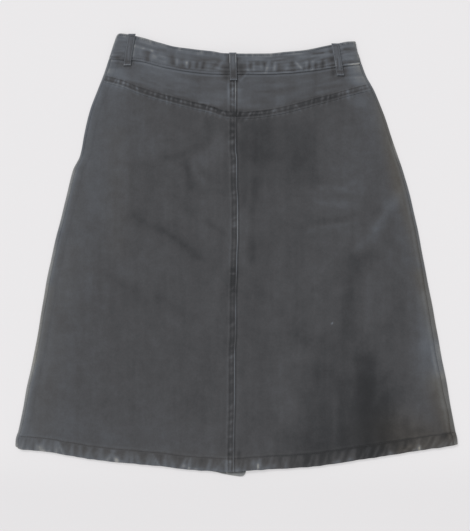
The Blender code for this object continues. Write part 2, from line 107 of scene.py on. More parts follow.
# Front opening
PLACKET_HALF = 16.0
OVERLAP_END = 14.5
LEFT_FOOT = 50.0
RIGHT_FOOT = 64.0
FRONT_DIP = 12.0
CORNER_START = -50.0
RIGHT_FRONT_SHORT = 2.0
PLACKET_ROW = 3.0  # its rows of stitching, in from its edges

# Waistband
BAND_TOP_ROW = 3.2  # its rows of stitching, in from its edges
BAND_LOW_ROW = 3.4
PROUDEST = 0.5  # how far its puckers stand out, at most, where it lies on the surface

# Shank buttons
BUTTON_COUNT = 9
BUTTON_FIRST = 60.0
BUTTON_PITCH = 68.75
CAP_HEIGHT = 2.4
CAP_REACH = 9.0
POST_RADIUS = 1.5
HOLE_START = -13.3
HOLE_END = 2.7
HOLE_WIDTH = 3.6
LIFT_SAG = 0.15
HEM_SETTLE = 60.0

# Belt loops
LOOP_WIDTH = 11.6
LOOP_ROUND = 2.0
LOOP_OVERHANG = 1.0
LOOP_CLEAR = 0.25  # more room, for the puckers under a loop
LOOP_ROW = 3.4  # its rows of stitching, from its middle
LOOP_BAR = 2.6  # its ends are turned under over this length
LOOP_TILT = 0.4
BACK_LOOPS = (
    # name, top_x, top_down, bottom_x, bottom_down, slack
    ("belt_loop_back_left", -168.0, -0.4, -176.0, 50.3, 0.2),
    ("belt_loop_back_centre", -6.8, 30.4, -5.4, 74.8, 0.6),
    ("belt_loop_back_right", 156.8, 15.0, 165.8, 66.3, 0.45),
)
FRONT_LOOP_X = 96.0
FRONT_LOOP_TAIL = 9.0
LOOP_MARGIN = 2.0
FRONT_LOOP_FLAT = LOOP_WIDTH / 2 + LOOP_MARGIN
FRONT_LOOP_FOOT = 21.0
LOOP_SPREAD = 10.0  # how much farther the back is lifted than the front

# The folded side edges, and how far inside the fold each side seam lies
SIDES = (
    # down, left, right, left_in, right_in
    (0, -192.5, 189, 4.5, 4.5), (22, -200, 192, 4.5, 4.5), (45, -207.2, 199, 4.5, 4.5),
    (67, -214.8, 207.3, 4.5, 4.5), (90, -223.5, 219.8, 4.5, 4.5), (122, -236, 233, 4.5, 4.5),
    (162, -245.5, 247, 4.5, 4.5), (195, -252, 258, 4.5, 4.5), (218, -263, 266, 5, 4.5),
    (266, -275, 279, 5.5, 4.5), (330, -291.4, 293.4, 6, 4.7), (378, -301.7, 301.9, 6, 5.2),
    (410, -308, 308.2, 6, 6.8), (474, -318.7, 320.6, 5.5, 8), (506, -324, 326, 5.5, 8.8),
    (570, -338, 338.2, 5, 8.6), (606, -344.7, 344.5, 5, 6.5), (634, -350.2, 350, 5, 7.6),
    (651, -355, 353.4, 5.5, 7), (664, -355.4, 353.8, 5.5, 6),
)
# Lines that run across the back
WAIST_TOP = (
    # x, down
    (-200, -1.4), (-188, -1.5), (-178, -0.6), (-171, 0.8), (-150, 5.6), (-126, 12.9), (-100, 20),
    (-75, 23.3), (-40, 27.3), (-20, 31.0), (15, 31.6), (50, 30.9), (68, 29.2), (105, 26), (140, 19),
    (166, 13.8), (178, 11.6), (200, 10.9),
)
BAND_BOTTOM = (
    # x, down
    (-215, 39), (-160, 42), (-110, 54), (-64, 61), (-20, 64), (20, 64), (82, 62), (128, 57), (152, 53),
    (210, 46),
)
YOKE_BOTTOM = (
    # x, down
    (-230, 72.5), (-200, 79), (-181, 84.5), (-162, 92.4), (-142, 99.2), (-123, 105), (-104, 110),
    (-85, 115), (-66, 119.6), (-46, 124.2), (-12, 134.3), (14, 134.8), (34, 133), (53, 130.2),
    (72, 126.6), (91, 122), (110, 117), (130, 111.6), (151, 106), (193, 94.2), (230, 84.5),
)
HEM_BOTTOM = (
    # x, down
    (-360, 661), (-343, 665.3), (-306, 668.7), (-288, 671.6), (-258, 677), (-215, 683.3), (-113, 693.1),
    (-80, 697.4), (-60, 698.8), (-10, 701), (20, 698.9), (46, 697.3), (92, 695), (130, 691.8),
    (150, 689.1), (194, 682.2), (240, 675.3), (297, 666.2), (335, 660.9), (360, 656.2),
)
CENTRE_SEAM = (
    # down, x
    (20, -2.1), (186, -2.1), (200, -0.4), (240, -0.4), (268, 1.1), (330, 1.1), (352, -0.1), (380, -0.6),
    (420, -1.9), (482, -2.1), (506, -3.6), (590, -3.7), (640, -5.1), (705, -5.6),
)
# The largest soft folds in the back
FOLDS = (
    # x0, down0, x1, down1, half_width, height
    (-172, 280, -52, 348, 24, 1.8), (-212, 380, -90, 440, 22, 1.4), (-112, 176, -70, 232, 24, 1.3),
    (112, 300, 205, 284, 22, 1.4), (188, 336, 258, 268, 24, 2.0), (216, 358, 222, 470, 26, 1.6),
    (158, 420, 136, 640, 36, 2.2), (176, 122, 190, 240, 30, 1.2), (-150, 500, -190, 640, 40, 1.2),
)
# Finer creases in the back; one with a negative height is a trough.
CREASES = (
    # x0, down0, x1, down1, half_width, height
    (-166, 293, -120, 316, 5.0, -0.5), (-116, 316, -84, 340, 4.0, -0.7),
    (-84, 340, -50, 366, 6.0, -0.5), (-204, 388, -166, 411, 7.0, -0.5),
    (-128, 421, -88, 447, 6.0, -0.45), (-112, 199, -88, 196, 4.5, -0.4),
    (-88, 196, -68, 181, 4.5, -0.4), (-78, 213, -74, 236, 5.5, -0.5), (-38, 307, -20, 320, 4.5, -0.4),
    (29, 234, 27, 362, 6.0, -0.7), (112, 254, 186, 252, 4.0, 0.4), (116, 278, 172, 276, 4.0, 0.35),
    (116, 303, 160, 299, 5.0, -0.5), (160, 299, 190, 289, 5.0, -0.5), (116, 312, 206, 300, 3.0, 0.35),
    (190, 347, 222, 312, 6.0, 0.55), (222, 312, 258, 268, 7.0, 0.6), (204, 306, 232, 278, 7.0, -0.4),
    (198, 362, 182, 420, 10.0, -0.6), (182, 420, 176, 474, 9.0, -0.6), (266, 389, 261, 474, 9.0, -0.4),
    (134, 490, 122, 580, 9.0, -0.4), (210, 526, 214, 606, 14.0, -0.5),
    (-262, 240, -292, 340, 5.0, -0.3), (-300, 400, -322, 520, 5.0, -0.3),
    (-14, 152, -40, 178, 6.0, 0.25), (60, 150, 84, 206, 7.0, 0.25), (-240, 560, -214, 600, 8.0, 0.3),
    (70, 520, 92, 604, 9.0, 0.3), (-64, 480, -82, 560, 9.0, 0.25),
)
# Short sharp wrinkles where the waist turns round the sides, and beside the centre loop
WAIST_WRINKLES = (
    # x0, down0, x1, down1, half_width, height
    (-201, 30, -180, 29, 1.2, 0.45), (-202, 35, -178, 33, 1.1, 0.5), (-203, 39, -182, 38, 1.0, 0.35),
    (-198, 17, -180, 15, 1.6, 0.3), (-197, 8, -182, 9, 1.4, 0.25), (168, 20, 190, 17, 1.5, 0.35),
    (170, 27, 193, 24, 1.3, 0.4), (169, 34, 194, 33, 1.2, 0.45), (172, 41, 196, 42, 1.2, 0.3),
    (6, 75, 19, 61, 1.6, 0.45), (-150, 60, -120, 66, 3.0, 0.2), (60, 84, 120, 76, 4.0, 0.2),
    (-96, 88, -54, 100, 4.0, 0.2),
)
# Soft creases in the front, which lies underneath; all of them arch off the surface.
FRONT_CREASES = (
    # x0, down0, x1, down1, half_width, height
    (-210, 250, -110, 300, 8.0, 0.5), (-236, 380, -130, 430, 9.0, 0.6),
    (-190, 470, -120, 620, 10.0, 0.45), (-96, 180, -66, 260, 7.0, 0.4),
    (-250, 540, -222, 640, 9.0, 0.4), (84, 230, 170, 262, 7.0, 0.45), (120, 330, 230, 300, 8.0, 0.6),
    (196, 360, 214, 480, 9.0, 0.55), (140, 430, 118, 600, 10.0, 0.5), (92, 150, 100, 210, 6.0, 0.35),
    (250, 560, 238, 640, 8.0, 0.4),
)

# How light the cloth is coloured, from 0, as dyed, to 1, worn to grey: mostly its fading and wear, and
# in places painted light and shade
PANEL_FADE = 0.15
YOKE_FADE = 0.08  # more than the panels
BAND_FADE = 0.15
INSIDE_FADE = 0.3
# Lighter at a free edge, partly wear and partly painted rim light
FREE_EDGE_LIGHT_AND_WEAR = 0.06
ROW_FADE = -0.06  # the dye stays dark in a row of stitching
ROW_HALF = 1.3
PUCKER_EVEN = 0.5  # the share of a pucker's usual height where it is neither light nor dark
# Along the creases the ridges are lighter, partly as wear and partly as painted light, and the troughs
# darker, as painted shade
CREASE_WEAR_AND_SHADE = 0.05
FELL_FADE = -0.1  # the yoke seam's two rows have kept the cloth between them dark
# How light the crest of the centre seam's folded edge is, on its way down: partly wear, partly a painted
# highlight
CREST = (
    # down, fade
    (75, 0.38), (100, 0.4), (115, 0.12), (135, -0.05), (160, 0.14), (175, 0.3), (210, 0.42), (250, 0.2),
    (275, 0.38), (326, 0.45), (340, 0.32), (372, 0.4), (392, 0.16), (415, 0.03), (445, 0.28),
    (470, 0.15), (493, 0.07), (518, 0.38), (582, 0.3), (610, 0.1), (640, 0.18), (672, 0.1), (690, 0.25),
)
# Lighter cloth along the side folds, partly wear and partly painted rim light: at the edge, and how
# wide. LEFT_GLOW is painted light over the left side, as from light falling from the left.
LEFT_EDGE = ((0.16, 3.0), (0.07, 30.0))
LEFT_GLOW = (0.078, 75.0)
RIGHT_EDGE = ((0.1, 3.0), (0.07, 30.0), (0.03, 60.0))
# How light the left fold's rim is, on its way down: partly wear, partly a painted highlight
LEFT_RIM = (
    # down, fade
    (40, 0.0), (70, 0.08), (140, 0.05), (180, 0.0), (205, 0.15), (235, 0.25), (262, 0.23), (300, 0.17),
    (320, 0.13), (350, 0.22), (390, 0.24), (440, 0.18), (490, 0.19), (535, 0.26), (575, 0.2),
    (600, 0.15), (640, 0.16),
)
RIGHT_SEAM_FADE = 0.08  # beside the right side seam
# Areas of an even tone, lighter or, with a negative amount, darker. The first is painted shade, where
# the back tilts away from the light right of the centre seam.
AREAS = (
    # x0, down0, x1, down1, half_width, fade
    (29, 168, 101, 168, 36, -0.07), (-40, 146, -8, 154, 15, -0.05), (105, 268, 190, 258, 20, 0.025),
    (190, 56, 202, 74, 16, 0.15), (-200, 56, -192, 74, 18, 0.09), (300, 425, 308, 500, 15, 0.07),
    (316, 500, 325, 545, 8, 0.13), (184, 100, 198, 108, 12, 0.08), (320, 548, 333, 592, 9, 0.06),
)
# The same, with soft edges. The dark ones over the lower right are partly painted shade, where the back
# tilts away from the light, and partly the cloth's darker tone; the light one at the right fold's rim is
# a painted highlight.
SHADES = (
    # x0, down0, x1, down1, half_width, fade
    (104, 206, 124, 236, 16, -0.045), (-24, 168, -46, 200, 18, 0.05), (-160, 135, -150, 182, 20, 0.035),
    (-198, 106, -206, 210, 34, 0.03), (-216, 200, -214, 262, 26, 0.025), (-150, 60, -90, 70, 16, 0.04),
    (-228, 98, -206, 104, 12, 0.03), (172, 175, 200, 300, 36, 0.035), (12, 206, 100, 212, 22, -0.035),
    (178, 362, 180, 425, 20, -0.04), (174, 425, 176, 490, 17, -0.05), (213, 386, 210, 458, 14, 0.03),
    (141, 545, 140, 600, 34, -0.07), (140, 612, 137, 655, 38, -0.11), (176, 560, 176, 655, 24, -0.13),
    (209, 524, 208, 545, 24, -0.13), (209, 558, 206, 600, 30, -0.19), (205, 600, 214, 655, 37, -0.19),
    (234, 588, 246, 650, 27, -0.16), (268, 620, 276, 662, 13, -0.11), (262, 640, 300, 634, 10, -0.1),
    (222, 600, 232, 660, 20, -0.2), (80, 645, 130, 652, 20, -0.06), (150, 658, 270, 646, 18, -0.1),
    (300, 640, 345, 636, 20, -0.08), (332, 646, 345, 644, 12, -0.16), (100, 482, 170, 512, 22, -0.055),
    (205, 460, 232, 472, 14, -0.035), (102, 575, 104, 618, 14, -0.05),
    (-318, 634, -296, 642, 10, -0.05), (-26, 116, -12, 118, 7, -0.07), (-66, 113, -52, 116, 5, 0.05),
    (16, 426, 16, 482, 17, -0.035), (8, 330, 8, 380, 14, -0.035), (10, 180, 12, 280, 14, -0.025),
    (60, 320, 140, 480, 34, -0.02), (-51, 500, -51, 560, 34, -0.015), (10, 440, 8, 540, 14, -0.025),
    (-188, 10, -188, 34, 14, -0.11), (-139, 636, -60, 644, 26, 0.035), (-290, 640, -200, 650, 30, 0.02),
    (300, 500, 309, 548, 22, 0.07), (253, 172, 256, 196, 4, 0.13), (100, 72, 190, 80, 16, -0.02),
    (20, 88, 120, 100, 18, -0.01), (176, 17, 176, 22, 8, -0.05), (-345, 648, -325, 660, 14, -0.05),
    (40, 296, 92, 372, 34, 0.022), (-229, 334, -229, 384, 18, 0.03),
)
# Lighter and darker marks, which wander a little. Many lie along the folds and creases: the dark ones
# there are painted shade in their troughs, and the light ones painted light on their ridges.
MARKS = (
    # x0, down0, x1, down1, half_width, fade
    (-118, 200, -75, 188, 8, -0.045), (-75, 188, -48, 172, 9, -0.045), (-82, 210, -76, 246, 10, -0.075),
    (-72, 247, -24, 253, 8, -0.035), (-54, 222, -26, 236, 7, -0.03), (-68, 210, -60, 232, 7, 0.03),
    (-207, 202, -139, 214, 9, -0.02), (-83, 264, -75, 290, 10, -0.025),
    (-170, 288, -150, 302, 9, -0.045), (-150, 302, -115, 317, 8, -0.035),
    (-115, 317, -91, 334, 9, -0.045), (-91, 334, -64, 356, 8, -0.045), (-140, 328, -112, 342, 8, 0.02),
    (-46, 302, -24, 318, 6, -0.04), (-212, 386, -188, 402, 10, -0.02),
    (-188, 402, -155, 420, 11, -0.025), (-155, 421, -118, 426, 9, -0.02),
    (-115, 430, -78, 450, 11, -0.025), (28, 236, 32, 266, 8, -0.055), (28, 266, 22, 320, 10, -0.035),
    (22, 326, 25, 364, 8, -0.045), (14, 242, 10, 268, 7, -0.035), (28, 402, 36, 414, 11, -0.025),
    (40, 402, 69, 421, 4, 0.025), (133, 246, 173, 246, 5, 0.055), (173, 241, 186, 236, 5, 0.04),
    (126, 270, 173, 270, 5, 0.035), (76, 278, 101, 274, 7, 0.02), (101, 308, 165, 296, 6, -0.02),
    (165, 295, 198, 287, 9, -0.02), (109, 316, 173, 307, 6, 0.03), (205, 276, 226, 290, 12, -0.025),
    (258, 256, 221, 317, 10, 0.06), (221, 317, 192, 346, 10, 0.04), (186, 358, 224, 350, 11, -0.03),
    (237, 322, 252, 346, 10, -0.02), (-222, 240, -236, 300, 12, 0.02),
    (-262, 330, -282, 420, 14, 0.015), (-120, 520, -110, 600, 12, 0.015), (60, 560, 72, 620, 12, 0.02),
    (-30, 380, -40, 440, 10, 0.02), (96, 176, 88, 232, 12, -0.02),
)
# Marks in and beside the seams. The dark ones round the belt loops are painted shade beside and below
# them; the light one down the left loop's right side, and the one along the band's left end, are painted
# light that lifts their shadows.
SEAM_MARKS = (
    # x0, down0, x1, down1, half_width, fade
    (14, 142, 14, 148, 15, -0.04), (29, 157, 29, 198, 8, -0.03), (-8, 150, -6, 164, 9, -0.08),
    (4, 128, 5, 136, 7, -0.17), (-6, 376, -6, 412, 9, -0.1), (-7, 456, -7, 462, 8, -0.06),
    (-9, 492, -9, 498, 8, -0.04), (-10, 548, -10, 572, 4, -0.05), (-22, 524, -20, 590, 4, 0.02),
    (-6, 250, -6, 330, 9, -0.02), (-10, 338, -10, 362, 10, 0.03), (10, 336, 10, 366, 7, 0.05),
    (-10, 80, -10, 106, 5, 0.06), (2, 78, 5, 106, 4, 0.07), (5, 74, 19, 61, 3, 0.1),
    (-176, 40, -160, 42, 5, -0.1), (-192, 42, -182, 43, 6, -0.1), (-167, 38, -166, 45, 4, -0.12),
    (-162.9, 11, -166.6, 36, 1.3, 0.2), (-204, 40.5, -185, 41.5, 1.6, 0.1), (-19, 54, -18, 68, 7, -0.2),
    (-14, 60, -14, 70, 4, -0.12), (6, 54, 8, 66, 6, -0.16), (-13.6, 34, -13.6, 62, 1.4, -0.16),
    (-16, 36, -16, 50, 3, -0.09), (0.7, 34, 0.7, 62, 1.4, -0.16), (3, 36, 3, 48, 3, -0.07),
    (-14, 78, 2, 78, 3, -0.1), (153, 40, 154, 64, 4, -0.18), (172, 52, 174, 64, 6, -0.1),
    (158, 70, 170, 69, 3, -0.07), (-90, 108, -78, 111, 6, 0.07), (56, 121, 74, 117, 6, 0.07),
    (162, 97, 178, 93, 7, 0.06), (101, 114, 157, 101, 6, -0.035), (-10.5, 685, -10.5, 697, 2.8, 0.15),
    (-9.8, 76, -9.6, 100, 1.5, -0.17), (-13.8, 80, -13.6, 100, 2.2, 0.13),
    (-4.4, 78, -4, 100, 1.6, -0.1), (-1.6, 82, -1.6, 92, 1.2, 0.12), (-61, 108.6, -45, 111, 1.6, 0.14),
    (-72, 109.6, -60, 110.8, 1.5, -0.12), (-60, 112, -53, 112.6, 1.5, -0.13),
    (-42, 116.4, -33, 119.4, 1.8, -0.14), (18, 125.2, 43, 123.4, 1.4, -0.13),
    (43, 123.4, 54, 121.5, 1.4, -0.11), (38, 123.8, 43, 123.4, 1.4, -0.06),
    (17, 130, 42, 129, 1.4, -0.06), (2.5, 671, 2.5, 692, 4, -0.13), (-14, 661, -13, 674, 4.5, -0.1),
)
# Marks on the belt loops: the light crests of their edges and ends, partly wear and partly painted
# highlight; the dark ones are painted shade along their sides and over their lower ends; and a light
# line down the left loop's right edge is painted light that lifts its shadow.
LOOP_MARKS = (
    # x0, down0, x1, down1, half_width, fade
    (-11.6, 33, -11.6, 46, 0.9, 0.28), (-2.0, 33, -2.0, 46, 0.9, 0.26),
    (-12.6, 31, -12.6, 68, 0.5, -0.12), (-0.2, 31, -0.2, 46, 0.5, -0.12), (-9, 34, -4, 34, 1.6, 0.12),
    (-6.5, 41, -6.5, 43, 2.0, 0.08), (-10.0, 51, -10.0, 60, 0.9, 0.06), (-6.5, 34, -6.0, 58, 2.4, 0.05),
    (-5.5, 62, -5.2, 70, 6, -0.16), (-163.6, 8, -167.6, 36, 0.9, 0.14),
    (-176, 41, -175.5, 46, 4.5, -0.09), (160.6, 40, 161.2, 54, 0.8, -0.12),
    (-10.0, 73.2, -1.0, 73.2, 0.9, 0.14), (-181, 49, -170.5, 49, 1.0, 0.2),
    (-172.6, 16, -174.0, 42, 1.1, 0.08), (162, 60.5, 169, 60.5, 2.6, -0.18),
    (160.8, 65.2, 171.3, 65.2, 1.0, 0.06), (158.2, 43, 158.6, 51, 0.9, 0.25),
    (153.4, 20, 155.0, 31, 0.9, 0.14), (162.8, 36, 165.0, 57, 1.1, 0.1),
    (-7, 72.2, -2, 72.2, 1.2, 0.12),
)
# Marks on the waistband, which are its puckers and wrinkles too
BAND_MARKS = (
    # x0, down0, x1, down1, half_width, fade
    (-163, 17.6, -150, 22.4, 2.2, 0.11), (-150, 22.4, -136, 27, 2.2, 0.11),
    (-136, 27, -131, 37, 3, 0.16), (-143, 31, -143, 41, 5, -0.15), (-155, 29, -154, 35, 3.5, 0.12),
    (-122, 34, -115, 43, 5, 0.12), (-104, 36, -102, 46, 4, -0.13), (-96, 41, -96, 49, 2.4, 0.18),
    (-88, 43, -86, 51, 3, -0.11), (-80, 46, -80, 54, 2, 0.17), (-75, 45, -76, 54, 2, -0.14),
    (-70, 45, -70, 54, 2, 0.08), (-64, 46, -65, 54, 1.9, -0.13), (-59, 46, -60, 54, 2, 0.1),
    (-53, 46, -55, 54, 2, -0.14), (-46, 46, -46, 56, 3, 0.07), (-38, 54, -30, 45, 3, -0.1),
    (-29, 55, -21, 42, 2.6, 0.09), (-162, 6, -162, 13, 4, -0.13), (-126, 26, -115, 26, 3, -0.05),
    (-128, 16, -114, 20, 3, 0.05), (-146, 11, -136, 14, 2.5, 0.08), (-110, 20, -100, 24, 2.6, -0.07),
    (-62, 31, -56, 31, 3, 0.1), (-20, 38, -14, 36, 3, 0.08), (16, 44, 17, 58, 2, 0.12),
    (22, 48, 22, 58, 1.8, -0.08), (27, 47, 27, 58, 2.2, 0.17), (38, 45, 39, 54, 2.4, 0.09),
    (44, 48, 44, 59, 1.8, -0.12), (51, 45, 46, 61, 2.6, 0.19), (56, 48, 55, 60, 1.6, -0.1),
    (61, 46, 60, 58, 2.2, 0.17), (67, 49, 67, 58, 2.6, -0.1), (78, 50, 82, 60, 4, 0.07),
    (90, 47, 90, 58, 3.6, -0.12), (94, 46, 104, 56, 2.3, 0.22), (108, 49, 106, 58, 1.6, -0.1),
    (111, 44, 111, 51, 2.6, 0.1), (116, 44, 115, 58, 1.9, -0.17), (122, 44, 121, 56, 2, 0.1),
    (126, 48, 126, 56, 2, -0.12), (131, 44, 131, 54, 2, 0.1), (137, 42, 137, 54, 2, -0.15),
    (143, 42, 144, 52, 2.2, 0.12), (120, 36, 148, 31, 2, 0.13), (122, 31.5, 138, 30, 1.5, -0.15),
    (61, 42, 112, 42, 2.6, -0.06), (148, 20, 150, 28, 3, -0.15), (-10, 40, 10, 40, 5, -0.04),
    (172, 24, 190, 24, 2, -0.14), (172, 31, 192, 29, 1.8, 0.1), (174, 38, 186, 37, 4, 0.1),
    (190, 40, 194, 41, 3, -0.12), (172, 48.4, 186, 48.2, 1.4, 0.22), (186, 48.2, 198, 47.6, 1.4, 0.13),
    (172, 14, 186, 12, 2, 0.08), (-199, 12, -184, 12, 1.2, 0.05), (-198, 17, -182, 17, 1.2, -0.05),
    (-199, 20, -184, 19, 1.4, 0.07), (-202, 25, -184, 25, 1.4, -0.07), (-202, 29, -186, 29, 1.2, 0.05),
    (-204, 33, -186, 32, 1.4, 0.09), (-205, 38, -190, 38, 1.4, -0.1),
)
BAND_MARK_RISE = 1.6  # how far a mark or a streak stands out, for each unit of its fade
STRAY = 3.5  # how far marks wander
BAND_STREAKS = 0.085  # the waistband and the yoke are streaky along their length
YOKE_STREAKS = 0.042
PANEL_STREAKS = 0.013  # the panels, down their length
PANEL_BLOTCHES = 0.018
HEM_STREAKS = 0.045
# Whitish spots where the hem's edge is worn through
WORN_SPOTS = (
    # x, above the edge, half_across, half_along, fade
    (-317, 6, 4, 5, 0.28), (-309, 1, 9, 2.5, 0.16), (-192, 4, 4, 5, 0.34), (-184, 2, 4, 2.5, 0.2),
    (-84, 5, 3.2, 3.5, 0.3), (-76, 3, 3, 2.2, 0.2), (-66, 2, 4, 2.2, 0.22), (-56, 3, 3, 3, 0.14),
    (-36, 3, 8, 2.0, 0.1), (-18, 12, 3, 9, 0.14), (34, 6, 2.2, 6, 0.6), (26, 12, 3.4, 5, 0.15),
    (47, 3, 3.5, 4, 0.17), (59, 5, 3, 3.5, 0.18), (160, 3, 5, 3.5, 0.2), (182, 3, 4, 4, 0.2),
    (246, 3, 4, 4, 0.22), (268, 4, 4, 2.6, 0.18), (277, 9, 3, 3.6, 0.2), (283, 3, 3.4, 2, 0.18),
    (292, 4, 2.6, 5, 0.58), (326, 8, 14, 7, 0.02),
)
# Where the black is browner: at the side folds and along the hem
BROWNER = (
    # x0, down0, x1, down1, half_width, share
    (194, 20, 203, 60, 11, 0.4), (200, 60, 216, 92, 12, 0.25), (234, 110, 262, 250, 14, 0.98),
    (262, 250, 296, 360, 11, 0.75), (296, 385, 322, 480, 14, 0.95), (326, 500, 334, 556, 12, 0.4),
    (326, 560, 346, 640, 22, 1.0), (352, 640, 352, 660, 22, 1.0), (196, 640, 244, 650, 22, 0.2),
    (250, 640, 320, 655, 34, 0.78), (-300, 410, -322, 520, 12, 0.5), (-252, 170, -268, 300, 20, 0.12),
    (-275, 352, -300, 470, 30, 0.2), (-303, 480, -320, 630, 32, 0.22), (-193, 165, -193, 340, 18, 0.17),
    (-345, 655, -215, 674, 14, 0.24), (-215, 674, 60, 690, 14, 0.22), (60, 688, 200, 672, 14, 0.16),
    (262, 664, 300, 658, 12, 0.9),
)
LINT = (152, 463, 1.4)  # a speck of lint: x, down, half_width
LINT_FADE = 0.45

# Stitches
STITCH_LENGTH = 2.7
STITCH_PITCH = 3.3
THREAD_RADIUS = 0.27
THREAD_LIFT = 0.1
THREAD_DIP = 0.22  # how deep a stitch's ends go into the cloth
THREAD_SIDES = 5
BAR_PITCH = 0.62  # the close stitches of a bar tack or a buttonhole
TACK = (2.9, 4.7)  # a bar tack's edges, from the end of its belt loop
TACK_HALF = 4.0
LOOP_SKIP = 3.5  # the rows on a belt loop leave out its ends
HOLE_STITCHES = (0.25, 2.0)  # their ends, out from the buttonhole's edge
HOLE_PAST = 0.2  # how far they go on past its ends

# Camera and ground
VIEW_WIDTH = 752.0  # how much of the ground the image takes in, side to side
IMAGE_WIDTH_PX = 470
IMAGE_HEIGHT_PX = 531
VIEW_MIDDLE_X = -3.2
VIEW_MIDDLE_DOWN = 370.4
CAMERA_HEIGHT = 2600.0
SENSOR_MM = 36.0
FLOOR_SIZE = 6.0
FLOOR_GAP = 0.0004
GROUND_LIT = 0.4  # a light table: this share of its brightness comes from above, and the rest is its own
GROUND_GLOW = 0.572
SHADED_GROUND = (-0.39, -0.29)  # where the ground gets a little dimmer towards the hem


# Curves and outlines


def curve(points):
    """A smooth function through (at, value) points that never overshoots between two of them."""
    at, value = np.array(points, float).T
    slope = np.diff(value) / np.diff(at)
    before, after = slope[:-1], slope[1:]
    same_way = before * after > 0
    middle = np.where(same_way, 2 * before * after / np.where(same_way, before + after, 1), 0)
    tangent = np.concatenate([slope[:1], middle, slope[-1:]])

    def value_at(x):
        x = np.clip(x, at[0], at[-1])
        i = np.clip(np.searchsorted(at, x) - 1, 0, len(at) - 2)
        span = at[i + 1] - at[i]
        t = (x - at[i]) / span
        start = (1 + 2 * t) * (1 - t) ** 2 * value[i] + t * (1 - t) ** 2 * span * tangent[i]
        end = t * t * (3 - 2 * t) * value[i + 1] + t * t * (t - 1) * span * tangent[i + 1]
        return start + end

    return value_at


def column(table, index):
    return [(row[0], row[index]) for row in table]


def smooth(x, start, end):
    """0 at start and before it, 1 at end and past it; start may be the larger one."""
    t = np.clip((x - start) / (end - start), 0, 1)
    return t * t * (3 - 2 * t)


def bump(x, half):
    return np.exp(-((x / half) ** 2))


def quarter_round(distance, radius):
    """1 at an edge, falling to 0 along a quarter circle at radius inside it."""
    share = np.clip(1 - distance / radius, 0, 1)
    return 1 - np.sqrt(1 - share**2)


side_left = curve(column(SIDES, 1))
side_right = curve(column(SIDES, 2))
left_in = curve(column(SIDES, 3))
right_in = curve(column(SIDES, 4))
waist_top = curve(WAIST_TOP)
band_bottom = curve(BAND_BOTTOM)
yoke_bottom = curve(YOKE_BOTTOM)
hem_line = curve(HEM_BOTTOM)
centre_left = curve(CENTRE_SEAM)
crest = curve(CREST)
left_rim = curve(LEFT_RIM)


def shifted(line, by):
    """A line beside another one."""
    return lambda at: line(at) + by


centre_right = shifted(centre_left, SEAM_GAP)
centre_lip = shifted(centre_left, LIP)
yoke_top = shifted(band_bottom, SEAM_GAP)
yoke_lip = shifted(yoke_bottom, LIP)
panel_top = shifted(yoke_bottom, SEAM_GAP)

FOLD_WAVES = ((0.22, 23, 1), (0.18, 9.5, 2.1))  # size, length, share of the phase
LEFT_PHASE, RIGHT_PHASE = 0.7, 2.9
HEM_WAVES = ((0.22, 3.1, 1.5, 37), (0.2, 6.3, 2, 51))  # size, length, sway, length of the sway


def wander(down, phase):
    """A folded edge isn't quite even."""
    slow = sum(size * np.sin(down / long + share * phase) for size, long, share in FOLD_WAVES)
    return slow * smooth(down, 40, 90)


def left_fold(down):
    return side_left(down) + wander(down, LEFT_PHASE)


def right_fold(down):
    return side_right(down) + wander(down, RIGHT_PHASE)


def side_room(x, down):
    """Distance in from the nearer side fold."""
    return np.minimum(x - left_fold(down), right_fold(down) - x)


def left_seam(down):
    return left_fold(down) + left_in(down)


def right_seam(down):
    return right_fold(down) - right_in(down)


def hem_bottom(x):
    """The hem's edge, drawn into short waves by its stitching."""
    waves = [a * np.sin(x / long + sway * np.sin(x / slow)) for a, long, sway, slow in HEM_WAVES]
    return hem_line(x) + waves[0] * np.sin(x / 29 + 0.4) + waves[1]


def front_dip(x):
    return FRONT_DIP * np.clip(1 - (x / side_left(0)) ** 2, 0, 1)


def front_waist_top(x):
    return waist_top(x) + front_dip(x)


def front_band_bottom(x):
    return band_bottom(x) + front_dip(x)


front_top = shifted(front_band_bottom, SEAM_GAP)
front_loop_end = shifted(front_band_bottom, FRONT_LOOP_TAIL)


def left_front_hem(x):
    corner_drop = REACH - hem_line(OVERLAP_END)
    return hem_bottom(x) + corner_drop * smooth(x, CORNER_START, OVERLAP_END)


def right_front_hem(x):
    return hem_bottom(x) - RIGHT_FRONT_SHORT * smooth(x, side_right(REACH), 0)


# Heights above the surface


def button_down(index):
    return BUTTON_FIRST + index * BUTTON_PITCH


def opening_lift(down, sag=LIFT_SAG):
    """How high the buttons hold the placket, which sags between them and settles at the hem."""
    turns = (down - BUTTON_FIRST) / BUTTON_PITCH
    sagged = 1 - sag * (1 - np.cos(2 * math.pi * turns)) / 2
    last = button_down(BUTTON_COUNT - 1)
    return (CAP_HEIGHT + SEAM_GAP) * sagged * smooth(down, last + HEM_SETTLE, last + CAP_REACH)


def loop_lift(x, down, spread=0.0):
    """The front belt loops lie under the front, and lift it."""
    off = np.abs(np.abs(x) - FRONT_LOOP_X)
    below = down - front_loop_end(x)
    foot = FRONT_LOOP_FOOT + 1.5 * spread
    across = smooth(off, foot, FRONT_LOOP_FLAT + spread)
    along = smooth(below, foot, LOOP_MARGIN + spread)
    return (LOOP_WALL + SEAM_GAP) * across * along


def left_front_under(x, down):
    return opening_lift(down) * smooth(x, -LEFT_FOOT, -PLACKET_HALF) + loop_lift(x, down)


def opening_wall(x, down):
    """Thickness of one front at the opening: waistband, placket or hem."""
    in_band = smooth(down, front_band_bottom(x) + RAMP, front_band_bottom(x))
    in_hem = smooth(down, hem_line(x) - HEM_DEPTH - RAMP, hem_line(x) - HEM_DEPTH)
    band_more = BAND_WALL + BAND_SEAM_RISE - PLACKET_WALL
    return PLACKET_WALL + band_more * in_band + (HEM_WALL - PLACKET_WALL) * in_hem


